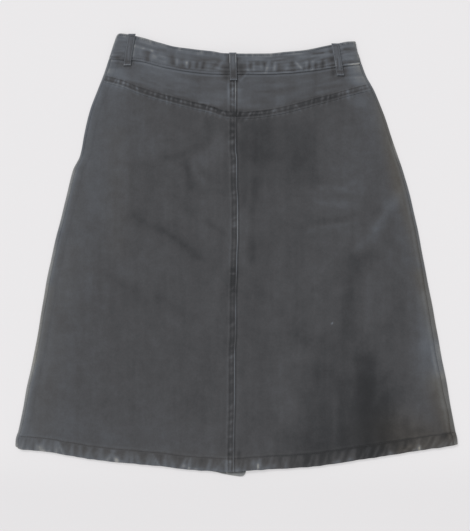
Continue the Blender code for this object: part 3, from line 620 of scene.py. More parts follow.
def right_front_under(x, down):
    lapped = opening_lift(down) + opening_wall(x, down) + SEAM_GAP
    return lapped * smooth(x, RIGHT_FOOT, PLACKET_HALF) + loop_lift(x, down)


STROKE_REACH = 2.4  # half widths from a mark's line to where it is left out
SOFT, CRISP = 2, 4  # the power by which a mark fades out from its line


def strokes(table, x, down, power):
    """Marks along straight lines, rounded at their ends: where each one is, and its amount there."""
    for x0, down0, x1, down1, half_width, amount in table:
        reach = STROKE_REACH * half_width
        near = (x > min(x0, x1) - reach) & (x < max(x0, x1) + reach)
        near &= (down > min(down0, down1) - reach) & (down < max(down0, down1) + reach)
        if not near.any():
            continue
        off_x, off_down = x[near] - x0, down[near] - down0
        dx, dy = x1 - x0, down1 - down0
        t = np.clip((off_x * dx + off_down * dy) / max(dx**2 + dy**2, 1e-6), 0, 1)
        off = np.hypot(off_x - t * dx, off_down - t * dy)
        yield near, amount * np.exp(-((off / half_width) ** power))


def along_lines(table, x, down):
    """Sum of such marks."""
    x, down = np.broadcast_arrays(x, down)
    total = np.zeros(x.shape)
    for near, amount in strokes(table, x, down, SOFT):
        total[near] += amount
    return total


def toned(table, x, down, power=SOFT):
    """Tone of such marks, of which the lightest and the darkest count at each point."""
    x, down = np.broadcast_arrays(x, down)
    light, dark = np.zeros(x.shape), np.zeros(x.shape)
    for near, amount in strokes(table, x, down, power):
        light[near] = np.maximum(light[near], amount)
        dark[near] = np.minimum(dark[near], amount)
    return light + dark


PATCH_COUNT = 256
PATCH_START = PATCH_COUNT / 4  # keeps their numbers above 0
# Patches: share, seed, and size along x and down
STRAY_ACROSS = ((1, 31, 27, 23), (0.5, 32, 10, 9))
STRAY_ALONG = ((1, 33, 24, 26), (0.5, 34, 9, 10))
MARKS_UNEVEN = ((0.4, 35, 15, 13),)
YOKE_EDGE_UNEVEN = ((0.5, 61, 9, 60),)
PANEL_UNEVEN = (
    (PANEL_STREAKS, 51, 5, 60),
    (PANEL_STREAKS, 52, 14, 110),
    (PANEL_BLOTCHES, 53, 44, 38),
)
WIDER_STREAKS = (0.7, 1.7, 2.1)  # share, and how many times as long and as tall


def patches(seed, x, y, long, tall):
    """Smooth noise from -1 to 1, in patches of about a size."""
    x, y = np.broadcast_arrays(x / long + PATCH_START, y / tall + PATCH_START)
    values = np.random.default_rng(seed).uniform(-1, 1, (PATCH_COUNT + 1, PATCH_COUNT + 1))
    i, j = np.floor(x).astype(int), np.floor(y).astype(int)
    u, v = smooth(x - i, 0, 1), smooth(y - j, 0, 1)
    i, j = i % PATCH_COUNT, j % PATCH_COUNT
    near = values[i, j] * (1 - u) + values[i + 1, j] * u
    far = values[i, j + 1] * (1 - u) + values[i + 1, j + 1] * u
    return near * (1 - v) + far * v


def uneven(table, x, down):
    """Sum of patches of several sizes."""
    return sum(share * patches(seed, x, down, long, tall) for share, seed, long, tall in table)


def strayed(x, down):
    """Marks on the cloth aren't straight, neither its wear nor its painted light and shade."""
    return x + STRAY * uneven(STRAY_ACROSS, x, down), down + STRAY * uneven(STRAY_ALONG, x, down)


def streaks(seed, x, down, long, tall):
    """Streaks along the waist: fine ones, and some twice as wide."""
    share, longer, taller = WIDER_STREAKS
    table = ((1, seed, long, tall), (share, seed + 1, longer * long, taller * tall))
    return uneven(table, x, down - waist_top(x))


def back_under(x, down):
    """Underside of the back: clear of all that lies below it, with its loft and soft folds."""
    band_edge = front_band_bottom(x) + BACK_MARGIN
    in_band = smooth(down, band_edge + RAMP, band_edge)
    hem_edge = hem_line(x) - HEM_DEPTH - BACK_MARGIN
    in_hem = smooth(down, hem_edge - RAMP, hem_edge)
    below = CLOTH + (BAND_WALL + BAND_SEAM_RISE - CLOTH) * in_band + (HEM_WALL - CLOTH) * in_hem
    lapped = opening_lift(down, sag=0) + 2 * opening_wall(x, down) + SEAM_GAP - below
    left_slope = smooth(x, -LEFT_FOOT - BACK_MARGIN, -PLACKET_HALF - BACK_MARGIN)
    right_slope = smooth(x, RIGHT_FOOT + BACK_MARGIN, PLACKET_HALF + BACK_MARGIN)
    over_opening = left_slope * right_slope
    room = side_room(x, down)
    inside = smooth(room, LOFT_FROM, LOFT_TO) * (1 - in_band) * (1 - in_hem)
    folded = along_lines(FOLDS, x, down)
    loft = (LOFT + folded) * inside * (1 - (1 - LOFT_KEPT) * over_opening)
    lifted = lapped * over_opening + loop_lift(x, down, LOOP_SPREAD)
    creased = along_lines(CREASES, x, down) * smooth(room, 0, 14.0) * (1 - in_band)
    return below + LAYER_GAP + lifted + loft + creased


def wall_of(hem_up):
    """Thickness of one layer, by its distance above the hem's edge."""
    return CLOTH + (HEM_WALL - CLOTH) * smooth(hem_up, HEM_FOLD, HEM_FOLD - FELL_EDGE)


def band_wall(share):
    return BAND_WALL + BAND_SEAM_RISE * smooth(share, BAND_RISE_FROM, BAND_RISE_TO)


# Puckers and stitch grooves


PUCKER_STEPS = (0.5, 1.6)  # least and most, as a share of the pitch
PUCKER_HEIGHTS = (2.2, 0.45)  # shape and scale of their spread, as a share of the height
PUCKER_WIDTHS = (0.6, 1.45)
PUCKER_SLANT = 0.28


def make_puckers(seed, length, pitch, height, half_width, slant, even=0.0):
    """Puckers along a seam: where each lies, its height, half width and slant.

    At an even of 1 they are as far apart and as high as each other.
    """
    draw = np.random.default_rng(seed)
    steps = draw.uniform(*PUCKER_STEPS, int(2 * length / pitch))
    at = np.cumsum(pitch * (steps * (1 - even) + even))
    at = at[at < length]
    count = len(at)
    shares = np.minimum(draw.gamma(*PUCKER_HEIGHTS, count), 2.0)
    heights = height * (shares * (1 - even) + even)
    halves = half_width * draw.uniform(*PUCKER_WIDTHS, count)
    slants = slant + draw.normal(0, PUCKER_SLANT, count)
    return np.stack([at, heights, halves, slants])


def pucker(made, along, up):
    """Height of such puckers at a distance along the seam, and up from it."""
    height = np.zeros(np.broadcast(along, up).shape)
    for at, peak, half, slant in made.T:
        height = np.maximum(height, peak * bump(along - at - slant * up, half))
    return height


def groove(distance):
    return -GROOVE_DEPTH * bump(distance, GROOVE_HALF)


def dark_row(distance):
    return ROW_FADE * bump(distance, ROW_HALF)


def worn(height, usual, shown, fade):
    """Fade of puckers: light on their tops and dark between them."""
    return fade * (height - PUCKER_EVEN * usual) * shown


CENTRE_HEIGHT, YOKE_HEIGHT, HEM_HEIGHT = 0.3, 0.34, 0.5
BAND_HEIGHT, BAND_TOP_HEIGHT = 0.42, 0.2
# seed, length of the seam, pitch, height, half_width, slant, even
CENTRE_PUCKERS = make_puckers(3, 720, 9.5, CENTRE_HEIGHT, 2.8, 0.1)
YOKE_PUCKERS = make_puckers(5, 760, 8.2, YOKE_HEIGHT, 1.9, 0.1, 0.5)
BAND_PUCKERS = make_puckers(11, 1600, 12.5, BAND_HEIGHT, 3.8, 0.12)
BAND_TOP_PUCKERS = make_puckers(13, 1600, 8.5, BAND_TOP_HEIGHT, 2.6, 0.1)
HEM_PUCKERS = make_puckers(17, 760, 12.0, HEM_HEIGHT, 3.6, 0.2, 0.4)
FRONT_HEM_PUCKERS = make_puckers(19, 1500, 12.6, 0.4, 3.9, 0.2)
SIDE_PUCKERS = make_puckers(23, 720, 14.0, 0.12, 4.0, 0.0)
HALF_SPAN = 360.0  # so that distances along a seam across the skirt start from its left end


# What seams, rows and folds add to the fade, or to it and the relief. In a table for lined(),
# a row is the distance from the seam's edge, the half width and the amount. In a pair for
# by_half(), the first number holds on the right half, and the second is added on the left one.
MIDDLE = (30, -30)  # the left half's looks take over from the right half's between these
HEM_MIDDLE = (90, -20)
PUCKERS_PAST = 3.0  # how far puckers reach past a fell's inner edge

CENTRE_SHOWN = (0.45, 2.4)  # least share of the puckers that shows, and half width of the most
CENTRE_TOPS = 0.42  # how light the puckers' tops are
CENTRE_LINES = ((12, 1.4, 0.05),)
# A painted shadow on the cloth just right of the centre seam's folded edge, darker in the yoke; then a
# faint lighter line
BESIDE_CENTRE_DARK = ((-1.7, 0.9, -0.1),)
BESIDE_CENTRE_PALE = ((-4.8, 1.6, 0.02),)
DARKER_IN_YOKE = 1.2

YOKE_SHOWN = (0.35, 2.6)
YOKE_TOPS = (0.5, 0.2)
YOKE_DARK = (0.85, 0.15)  # shares of FELL_FADE
YOKE_DARK_TOP = (19, -2)
YOKE_LINES = ((9, 1.5, -0.03), (2.6, 1.5, -0.03))
YOKE_EDGE = ((-0.2, 1.2, 0.08),)

SIDE_CLOSING = (0.15, 0.4)  # how far the left and the right side seams close in
STRIP_EDGE = ((0.4, 1.0, -0.03),)

ROPING_TOPS = 0.32

# Just below the waistband's edge: a faint painted shadow on the right half, and on the left painted
# light that lifts the edge's shadow
BELOW_BAND_LIGHT_AND_SHADE = (-0.01, 0.07)
PAST_BAND_FADE = (0.1, 0.04)
WRINKLE_FADE = 0.15

PANEL_PUCKERS = 0.5  # share of the yoke seam's puckers that goes on into the panels
PANEL_TOPS = 0.25
BELOW_YOKE_FADE = (0.065, 0.015)


def crossing(one, other):
    return np.maximum(one, other) + CROSSING * np.minimum(one, other)


def by_half(pair, x, middle=MIDDLE):
    """A value that is one on the right half, and more on the left one."""
    right, more = pair
    return right + more * smooth(x, *middle)


def lined(table, distance):
    """Sum of lines along a seam."""
    return sum(amount * bump(distance - at, half) for at, half, amount in table)


def sewn(inside, rows):
    """Relief and fade of rows of stitching."""
    offs = [inside - row for row in rows]
    return sum(groove(off) for off in offs), sum(dark_row(off) for off in offs)


def felled(inside):
    """The ridge of the centre or the yoke seam."""
    return FELL_RISE * smooth(inside, FELL_WIDTH + FELL_EDGE / 2, FELL_WIDTH - FELL_EDGE / 2)


def between(inside, rows, least, half):
    """Puckers show most midway between two rows of stitching, and end past the outer one."""
    near, far = rows
    shown = least + (1 - least) * bump(inside - (near + far) / 2, half)
    return smooth(inside, FELL_WIDTH + PUCKERS_PAST, far) * shown


def centre_ridge(x, down):
    """The felled centre seam, all on its left side: its ridge, relief and tone, with a painted shadow on
    the cloth just right of its fold edge.
    """
    inside = centre_left(down) - x
    shown = between(inside, CENTRE_ROWS, *CENTRE_SHOWN) * smooth(inside, 0, 1.5)
    made = pucker(CENTRE_PUCKERS, down, inside)
    drawn, fade = sewn(inside, CENTRE_ROWS)
    fade = fade + worn(made, CENTRE_HEIGHT, shown, CENTRE_TOPS) + lined(CENTRE_LINES, inside)
    fade = fade + crest(down) * bump(inside, 0.8)
    in_yoke = smooth(yoke_bottom(x) - down, -6, 4)
    beside = (1 + DARKER_IN_YOKE * in_yoke) * lined(BESIDE_CENTRE_DARK, inside)
    beside = beside + lined(BESIDE_CENTRE_PALE, inside)
    return felled(inside), made * shown + drawn, np.where(inside > -0.6, fade, beside)


def yoke_ridge(x, down):
    """The felled yoke seam, on the yoke's side of its fold edge: its ridge, relief and fade."""
    up = yoke_bottom(x) - down
    shown = between(up, YOKE_ROWS_UP, *YOKE_SHOWN)
    made = pucker(YOKE_PUCKERS, x + HALF_SPAN, up)
    drawn, fade = sewn(up, YOKE_ROWS_UP)
    fade = fade + worn(made, YOKE_HEIGHT, shown, by_half(YOKE_TOPS, x))
    dark = smooth(up, by_half(YOKE_DARK_TOP, x), 9.5) * smooth(up, 0, 1.6)
    fade = fade + FELL_FADE * by_half(YOKE_DARK, x) * dark
    edge = (0.7 + uneven(YOKE_EDGE_UNEVEN, x, down)) * lined(YOKE_EDGE, up)
    fade = fade + smooth(x, *MIDDLE) * (lined(YOKE_LINES, up) + edge)
    return felled(up), made * shown + drawn, fade


def right_strip(down):
    return smooth(down, 130, 200)


def side_ridge(x, down):
    """The side seams, which lie inside the folds: their ridge, relief and fade."""
    left_room, right_room = x - left_seam(down), right_seam(down) - x
    inside = np.minimum(left_room, right_room)
    ridge = SIDE_FELL_RISE * smooth(inside, SIDE_FELL_WIDTH, SIDE_FELL_WIDTH - 3 * FELL_EDGE)
    made = pucker(SIDE_PUCKERS, down, inside) * smooth(inside, SIDE_FELL_WIDTH, 2.0)
    closing = np.where(left_room < right_room, *SIDE_CLOSING)
    closing = closing * quarter_round(inside, 1.2)
    inner = 1.8 + 2.8 * smooth(down, 230, 340)
    fade = RIGHT_SEAM_FADE * bump(right_room - inner, 2.4) + lined(STRIP_EDGE, right_room)
    return ridge - closing, made, fade * right_strip(down)


def hem_relief(x, down):
    """The hem twists between its stitching and its edge, in slanted ridges."""
    up = hem_bottom(x) - down
    roping = smooth(up, HEM_ROW + 0.5, HEM_ROW - 4) * (0.7 + 0.3 * smooth(up, 14, 5))
    made = pucker(HEM_PUCKERS, x + HALF_SPAN, up)
    fade = worn(made, HEM_HEIGHT, roping, ROPING_TOPS) + dark_row(up - HEM_ROW)
    streaky = patches(71, x - 0.25 * up, up, 3.2, 12)
    fade = fade + HEM_STREAKS * streaky * smooth(up, HEM_ROW, HEM_ROW - 3.0)
    return made * roping + groove(up - HEM_ROW), fade


def yoke_face(x, down, left):
    """The yoke's outer face: its height, relief and the fade of its seams."""
    across_ridge, across_relief, fade = yoke_ridge(x, down)
    side, side_relief, side_fade = side_ridge(x, down)
    centre, centre_relief, centre_fade = centre_ridge(x, down)
    wrinkles = along_lines(WAIST_WRINKLES, x, down)
    ridge = crossing(across_ridge, side)
    relief = across_relief + side_relief + wrinkles
    if left:
        ridge = crossing(ridge, centre)
        relief = relief + centre_relief
    past_band = down - band_bottom(x)
    fade = fade + side_fade + centre_fade + WRINKLE_FADE * wrinkles
    fade = fade + by_half(BELOW_BAND_LIGHT_AND_SHADE, x) * bump(past_band - 1.7, 1.2)
    fade = fade + by_half(PAST_BAND_FADE, x) * bump(past_band - 3.6, 1.5)
    fade = fade + YOKE_STREAKS * streaks(41, x, down, 22, 3.6)
    return back_under(x, down) + CLOTH + ridge + relief, relief, fade


def whole_yoke_face(x, down):
    """The yokes' faces and their relief, on both sides of the centre seam."""
    on_left = x < centre_left(down)
    pairs = zip(yoke_face(x, down, True), yoke_face(x, down, False))
    return [np.where(on_left, left, right) for left, right in pairs]


def panel_face(x, down, left):
    """A back panel's outer face: its height, relief and the fade of its seams."""
    ridge, relief, fade = side_ridge(x, down)
    centre, centre_relief, centre_fade = centre_ridge(x, down)
    if left:
        ridge = crossing(ridge, centre)
        relief = relief + centre_relief
    past_yoke = down - yoke_bottom(x)
    made = pucker(YOKE_PUCKERS, x + HALF_SPAN, -past_yoke)
    roped, hem_fade = hem_relief(x, down)
    relief = relief + roped + made * PANEL_PUCKERS * bump(past_yoke, 5.0)
    tops = worn(made, YOKE_HEIGHT, bump(past_yoke - 1, 4.5), PANEL_TOPS)
    fade = fade + centre_fade + hem_fade + tops
    fade = fade + by_half(BELOW_YOKE_FADE, x, (120, -40)) * bump(past_yoke - 0.3, 3.3)
    return back_under(x, down) + wall_of(hem_bottom(x) - down) + ridge + relief, relief, fade


# Grids


MEETING_STEPS = 12  # by then it has settled


def ladder(*stops):
    """Offsets from an edge inwards. A stop is an offset, and the step from there to the next."""
    offsets = []
    for (start, step), (end, _) in zip(stops, stops[1:]):
        count = max(1, round((end - start) / step))
        offsets += [start + (end - start) * k / count for k in range(count)]
    return offsets + [stops[-1][0]]


def stations(first, count, last):
    """Offsets from the first edge, even steps, then offsets back from the last edge."""
    rows = [(0, offset) for offset in first]
    for k in range(1, count):
        t = k / count
        rows.append((t, first[-1] * (1 - t) - last[-1] * t))
    return np.array(rows + [(1, -offset) for offset in reversed(last)], float)


def one(share, offset):
    return np.array([(share, offset)], float)


def across(upper, lower, rows):
    """Lines from side to side between an upper and a lower one, as a function of x."""
    share, offset = rows[:, :1], rows[:, 1:]
    return lambda x: upper(x) * (1 - share) + lower(x) * share + offset


def meeting(edge, line, count):
    """The x where a side edge crosses each line."""
    x = np.full((count, 1), edge(REACH / 2))
    for _ in range(MEETING_STEPS):
        x = edge(line(x))
    return x


def spread(start, end, columns, side=1):
    """The x of each column; side says which way its offset goes."""
    return start + (end - start) * columns[:, 0] + side * columns[:, 1]


def patch(upper, lower, left, right, rows, columns):
    line = across(upper, lower, rows)
    start, end = meeting(left, line, len(rows)), meeting(right, line, len(rows))
    x = spread(start, end, columns)
    return x, line(x)


FELL_LADDER = ladder((0, 0.3), (0.6, 0.1), (0.7, 0.7), (2.8, 0.6), (13.4, 1.1), (17, 0))
BELOW_LADDER = ladder((0, 0.9), (9, 1.5), (12, 0))
SIDE_LADDER = ladder((0, 0.3), (1.2, 1.2), (15.6, 0))
HEM_LADDER = ladder((0, 0.12), (0.36, 0.36), (1.1, 1.4), (22.6, 0.6), (27.4, 1.4), (33, 0))
TOP_LADDER = ladder((0, 0.9), (5.4, 1.3), (12, 0))
LEFT_COLUMNS = stations(SIDE_LADDER, 118, FELL_LADDER)
RIGHT_COLUMNS = stations(ladder((0, 0.7), (4.2, 1.6), (15.4, 0)), 124, SIDE_LADDER)
PANEL_ROWS = stations(BELOW_LADDER, 198, HEM_LADDER)
YOKE_ROWS = stations(TOP_LADDER, 22, FELL_LADDER)


# Meshes


def stacked(x, down, z):
    return np.stack(np.broadcast_arrays(x, down, z), axis=-1)


def placed(x, down, z):
    """Points in the skirt's frame, in metres."""
    return stacked(x, REACH / 2 - down, z) * MM


def linked(name, data):
    made = bpy.data.objects.new(name, data)
    bpy.context.scene.collection.objects.link(made)
    return made


def new_piece(name, points, faces, material):
    mesh = bpy.data.meshes.new(name)
    mesh.from_pydata(points.tolist(), [], faces)
    mesh.polygons.foreach_set("use_smooth", np.ones(len(faces), bool))
    mesh.materials.append(material)
    mesh.update()
    made = linked(name, mesh)
    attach(made, ROOT)
    return made


def wall_faces(rows, columns, kept):
    """Faces of a closed wall between two grids; kept says which cells aren't cut out."""
    index = np.arange(rows * columns).reshape(rows, columns)
    corners = np.stack([index[:-1, :-1], index[:-1, 1:], index[1:, 1:], index[1:, :-1]], axis=-1)
    step = rows * columns
    faces = [corners[kept], corners[kept][:, ::-1] + step]
    walled = np.pad(kept, 1)
    beyond = (walled[:-2, 1:-1], walled[1:-1, 2:], walled[2:, 1:-1], walled[1:-1, :-2])
    for side, other in enumerate(beyond):
        rim = corners[kept & ~other]
        start, end = rim[:, side], rim[:, (side + 1) % 4]
        faces.append(np.stack([end, start, start + step, end + step], axis=-1))
    return np.concatenate(faces)


def make_wall(name, outer, inner, fade, material, kept=None, inner_fade_and_shade=INSIDE_FADE):
    """A closed cloth wall between two grids of points, which knows how faded each point is and what
    light or shade is painted on it.
    """
    rows, columns = outer.shape[:2]
    if kept is None:
        kept = np.ones((rows - 1, columns - 1), bool)
    faces = wall_faces(rows, columns, kept)
    points = np.concatenate([outer.reshape(-1, 3), inner.reshape(-1, 3)])
    fades_and_shades = np.concatenate([fade.ravel(), np.broadcast_to(inner_fade_and_shade, fade.shape).ravel()])
    used, faces = np.unique(faces, return_inverse=True)
    faces = faces.reshape(-1, 4)
    points, fades_and_shades = points[used], fades_and_shades[used]
    a, b, c, d = (points[faces[:, k]] for k in range(4))
    if np.einsum("ij,ij->", a + b + c + d, np.cross(c - a, d - b)) < 0:
        faces = faces[:, ::-1]
    made = new_piece(name, points, faces.tolist(), material)
    brown = toned(BROWNER, points[:, 0] / MM, REACH / 2 - points[:, 1] / MM)
    for attribute, values in (("fade", fades_and_shades), ("brown", brown)):
        kept_values = made.data.attributes.new(attribute, "FLOAT", "POINT")
        kept_values.data.foreach_set("value", values.astype(np.float32))
    return made


def cloth_size(outer):
    """Width, length and area of a grid of points laid flat."""
    across_steps = np.diff(outer, axis=1)
    down_steps = np.diff(outer, axis=0)
    width = np.linalg.norm(across_steps, axis=2).sum(axis=1).max()
    length = np.linalg.norm(down_steps, axis=2).sum(axis=0).max()
    cells = np.cross(across_steps[:-1], down_steps[:, :-1])
    return float(width), float(length), float(np.linalg.norm(cells, axis=2).sum())


def declare(piece, outer, rests_on, *nodes):
    """Hides the solids that a cloth piece stands for, and works out the size that it was cut to."""
    width, length, area = cloth_size(outer)
    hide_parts(*nodes)
    min(area, width * length)


# Edges


def round_edge(outer, inner, distance, radius=EDGE_ROUND):
    """Turned edges are round: both faces of a wall close in on its middle."""
    share = EDGE_SHARE * quarter_round(distance, radius)
    if outer.ndim == 3:
        share = share[..., None]
    middle = (outer + inner) / 2
    return outer + (middle - outer) * share, inner + (middle - inner) * share


def lap(outer, inner, below, past, lip=LIP):
    """An upper layer's folded edge comes down on the layer below, just past the seam."""
    end = np.minimum(outer, below + LIP_THIN)
    outer = outer - (outer - end) * quarter_round(lip - past, LIP_ROUND)
    inner = np.where(past > LAP_FROM, np.maximum(inner, below + LIP_CLEAR), inner)
    return np.maximum(outer, inner + LIP_CLEAR), inner


# Fading


HEM_PALE = 0.03  # on the left half
HEM_EDGE = (0.01, 0.08)  # for by_half(), as is the next one
# Lighter at the hem's very edge, partly wear and partly painted rim light
HEM_RIM = (0.08, FREE_EDGE_LIGHT_AND_WEAR)
# How strong the painted light over the left side is, down the skirt
GLOW_LEAST = 0.75
GLOW_MORE = ((0.25, 100, 200), (0.4, 440, 540))  # how much, from where and to where
# Painted light on the inside of the front below the back's hem, which lifts the shade there
BELOW_HEM_PAINTED_LIGHT = 0.32
FRONT_PALE = ((150, 60, 0.03),)


def hem_wear_and_rim_light(x, up):
    """The hem's edge is lighter all along, partly wear and partly painted rim light, and whitish where
    it is worn through.
    """
    fade = HEM_PALE * smooth(x, *HEM_MIDDLE) * smooth(up, 50, 24)
    fade = fade + by_half(HEM_EDGE, x, HEM_MIDDLE) * smooth(up, HEM_ROW - 1.6, 5)
    fade = fade + by_half(HEM_RIM, x, HEM_MIDDLE) * np.exp(-np.maximum(up, 0) / 2.0)
    for at_x, at_up, half_across, half_along, amount in WORN_SPOTS:
        fade = fade + amount * bump(x - at_x, half_across) * bump(up - at_up, half_along)
    return fade


def edge_wear_and_rim_light(room, down, left):
    """The side folds' edges are lighter, the left one's most: partly wear and partly painted rim light,
    with broad painted light over the left side.
    """
    room = np.maximum(room, 0)
    fade = sum(share * np.exp(-room / width) for share, width in (LEFT_EDGE if left else RIGHT_EDGE))
    if left:
        amount, width = LEFT_GLOW
        stronger = GLOW_LEAST + sum(more * smooth(down, *reach) for more, *reach in GLOW_MORE)
        fade = fade + stronger * amount * np.exp(-room / width) + left_rim(down) * bump(room - 3, 5.2)
    return fade


def back_fade_and_shade(x, down):
    """Tone of the back: its side folds with their painted rim light, its marks with their painted light
    and shade, its creases and the streaks in its cloth.
    """
    fade = edge_wear_and_rim_light(x - left_fold(down), down, True) + edge_wear_and_rim_light(right_fold(down) - x, down, False)
    lint_x, lint_down, lint_half = LINT
    lint = LINT_FADE * bump(np.hypot(x - lint_x, down - lint_down), lint_half)
    at = strayed(x, down)
    marks = toned(AREAS, *at, CRISP) + toned(SHADES, *at) + toned(SEAM_MARKS, x, down)
    marks = marks + toned(MARKS, *at) * (1 + uneven(MARKS_UNEVEN, x, down))
    creased = CREASE_WEAR_AND_SHADE * along_lines(CREASES, x, down)
    return PANEL_FADE + fade + marks + creased + uneven(PANEL_UNEVEN, x, down) + lint


def painted_light_below_hem(x, down):
    """The inside of the front's hem is painted light where it hangs below the back's, which lifts the
    shade that the back's hem casts there.
    """
    return BELOW_HEM_PAINTED_LIGHT * smooth(down - hem_line(x), -3, 1)


def front_fade(x, down):
    cloudy = 0.04 * np.sin(x / 71 + 1.1) * np.sin(down / 93)
    return PANEL_FADE + cloudy + lined(FRONT_PALE, np.abs(x))


# The back


ABOVE_HEM = ((HEM_FOLD + 1.2, 1.3, 0.03),)
DARK_ROW = ((21.4, 3.0, -0.045),)  # the hem's stitching is darker on the right


def back_surface(kind, half):
    """Outer and inner points and the fade of a yoke or a panel, by its rows and columns."""
    left = half == "left"
    face = yoke_face if kind == "yoke" else panel_face
    lines = (yoke_top, yoke_lip) if kind == "yoke" else (panel_top, hem_bottom)
    edges = (left_seam, centre_lip) if left else (centre_right, right_seam)

    def surface(rows, columns):
        x, down = patch(*lines, *edges, rows, columns)
        outer, _, seams = face(x, down, left)
        inner = back_under(x, down)
        fade = back_fade_and_shade(x, down) + seams
        if left:
            past = x - centre_left(down)
            outer, inner = lap(outer, inner, face(x, down, False)[0], past)
        if kind == "yoke":
            past = down - yoke_bottom(x)
            outer, inner = lap(outer, inner, panel_face(x, down, left)[0], past)
            fade = fade + YOKE_FADE
        else:
            up = hem_bottom(x) - down
            outer, inner = round_edge(outer, inner, up)
            fade = fade + hem_wear_and_rim_light(x, up) + lined(ABOVE_HEM, up)
            fade = fade + smooth(x, -20, 60) * lined(DARK_ROW, up)
        return placed(x, down, outer), placed(x, down, inner), fade

    return surface


def make_back_piece(kind, half, denim):
    rows = YOKE_ROWS if kind == "yoke" else PANEL_ROWS
    columns = LEFT_COLUMNS if half == "left" else RIGHT_COLUMNS
    name = f"back_{kind}_{half}"
    outer, inner, fade = back_surface(kind, half)(rows, columns)
    piece = make_wall(f"{name}_cloth", outer, inner, fade, denim)
    declare(piece, outer, [f"front_panel_{half}"], name)


# The front and the waistband, which turn round the sides


def flat_run(x, down, under, thickness):
    """A stretch that lies on the surface, outer face down."""
    return stacked(x, down, under), stacked(x, down, under + thickness)


def turn_run(fold_x, down, height, thickness, proud):
    """Half a round at a side fold, from its lowest line to its highest."""
    sign = np.sign(fold_x)
    radius = height / 2
    middle = fold_x - sign * radius
    faces = []
    for reach in (radius + proud, np.maximum(radius - thickness, LEAST_TURN)):
        x = middle + sign * reach * np.cos(TURN_ANGLES)
        faces.append(stacked(x, down, radius + reach * np.sin(TURN_ANGLES)))
    return faces


def joined(*runs):
    return [np.concatenate(parts, axis=1) for parts in zip(*runs)]


def moved(points):
    return placed(points[..., 0], points[..., 1], points[..., 2])


TURN_ANGLES = np.radians(np.linspace(-90, 90, 15))
RISING = (1 + np.sin(TURN_ANGLES)) / 2
LEAST_TURN = 0.15  # radius of the inside of a fold
FRONT_RUN = stations(ladder((0, 0.6), (1.8, 1.8), (9, 0)), 96, ladder((0, 1.6), (8, 0)))
FRONT_ROWS = stations(ladder((0, 0.7), (2.1, 2.2), (8.7, 0)), 178, HEM_LADDER)
FRONT_SEAM_STEPS = np.array((0.25, 0.5, 0.72, 0.88, 1.0))  # from the fold's top to the side seam
FRONTS = {
    # sign of x, underside, hem, side fold, side seam, how far the hem's corner is rounded off
    "left": (-1, left_front_under, left_front_hem, left_fold, left_seam, 3.4),
    "right": (1, right_front_under, right_front_hem, right_fold, right_seam, 1.2),
}
FRONT_ROPING = 0.7  # share of the puckers of a hem that rests on the surface
SEAM_DROP = 0.45  # how far the side seam's edge turns down


def corner_inset(up, radius):
    """How far a folded corner is rounded off, at a distance from its end."""
    return radius * quarter_round(up, radius)


def twisted(up):
    """How much of the hem's twisting shows: none above its stitching, and all of it below."""
    return smooth(up, HEM_ROW + 1, HEM_ROW - 5)


def front_relief(x, down, hem):
    """Relief of a front panel, all of it into the cloth's side, since its outer face rests."""
    up = hem(x) - down
    roping = np.minimum(pucker(FRONT_HEM_PUCKERS, x + 2 * HALF_SPAN, up) * twisted(up), PROUDEST)
    drawn = FRONT_ROPING * (PROUDEST * twisted(up) - roping) - groove(up - HEM_ROW)
    return along_lines(FRONT_CREASES, x, down) * smooth(up, 20, 50), drawn


def front_surface(half):
    """Outer and inner points and the fade of a front panel: flat, round the fold, to the seam."""
    sign, under_of, hem, fold, seam, corner = FRONTS[half]

    def surface(rows, columns=FRONT_RUN):
        above, below = across(yoke_top, hem_bottom, rows), across(front_top, hem, rows)
        fold_x = meeting(fold, above, len(rows))
        down = above(fold_x)
        up = hem_bottom(fold_x) - down
        fold_x = fold_x - sign * corner_inset(up, corner)
        thickness = wall_of(up)
        height = back_under(fold_x, down) + thickness
        start, end = sign * (PLACKET_HALF + SEAM_GAP), fold_x - sign * height / 2
        x = spread(start, end, columns, sign)
        flat_down = below(x)
        creased, drawn = front_relief(x, flat_down, hem)
        under = under_of(x, flat_down) + creased
        flat = flat_run(x, flat_down, under + drawn, wall_of(hem(x) - flat_down) - drawn)
        proud = pucker(HEM_PUCKERS, fold_x + HALF_SPAN, up) * twisted(up)
        turn = turn_run(fold_x, down, height, thickness, proud * RISING)
        seam_x = meeting(seam, above, len(rows)) + sign * SEAM_GAP / 3
        top_x = end + (seam_x - end) * FRONT_SEAM_STEPS
        top_up = hem_bottom(top_x) - above(top_x)
        lifted = pucker(HEM_PUCKERS, top_x + HALF_SPAN, top_up) * twisted(top_up)
        lifted = lifted - SEAM_DROP * quarter_round(np.abs(top_x - seam_x), 1.2)
        levels = (height + lifted, height - thickness)
        top = [stacked(top_x, above(top_x), level) for level in levels]
        outer, inner = joined(flat, turn, top)
        turn_up = np.repeat(up, len(TURN_ANGLES), 1)
        up_all = np.concatenate([hem(x) - flat_down, turn_up, top_up], axis=1)
        outer, inner = round_edge(outer, inner, up_all)
        fade = front_wrap_fade_and_shade(outer, half, x.shape[1], up_all)
        return moved(outer), moved(inner), fade

    return surface


def front_wrap_fade_and_shade(outer, half, flat_count, up):
    """Tone of a front panel: plain underneath, lighter round the fold with wear and painted rim light,
    like the back on top.
    """
    x, down = outer[..., 0], outer[..., 1]
    sign, _, _, fold, *_ = FRONTS[half]
    fade = front_fade(x, down) + edge_wear_and_rim_light(np.abs(x - fold(down)), down, sign < 0)
    on_top = np.arange(x.shape[1]) >= flat_count + len(TURN_ANGLES) // 2
    _, seams = hem_relief(x, down)
    strip = 0.0 if sign < 0 else RIGHT_SEAM_FADE * right_strip(down)
    top = back_fade_and_shade(x, down) + seams * smooth(up, HEM_ROW + 3, HEM_ROW) + strip
    fade[:, on_top] = top[:, on_top]
    return fade + hem_wear_and_rim_light(x, up)


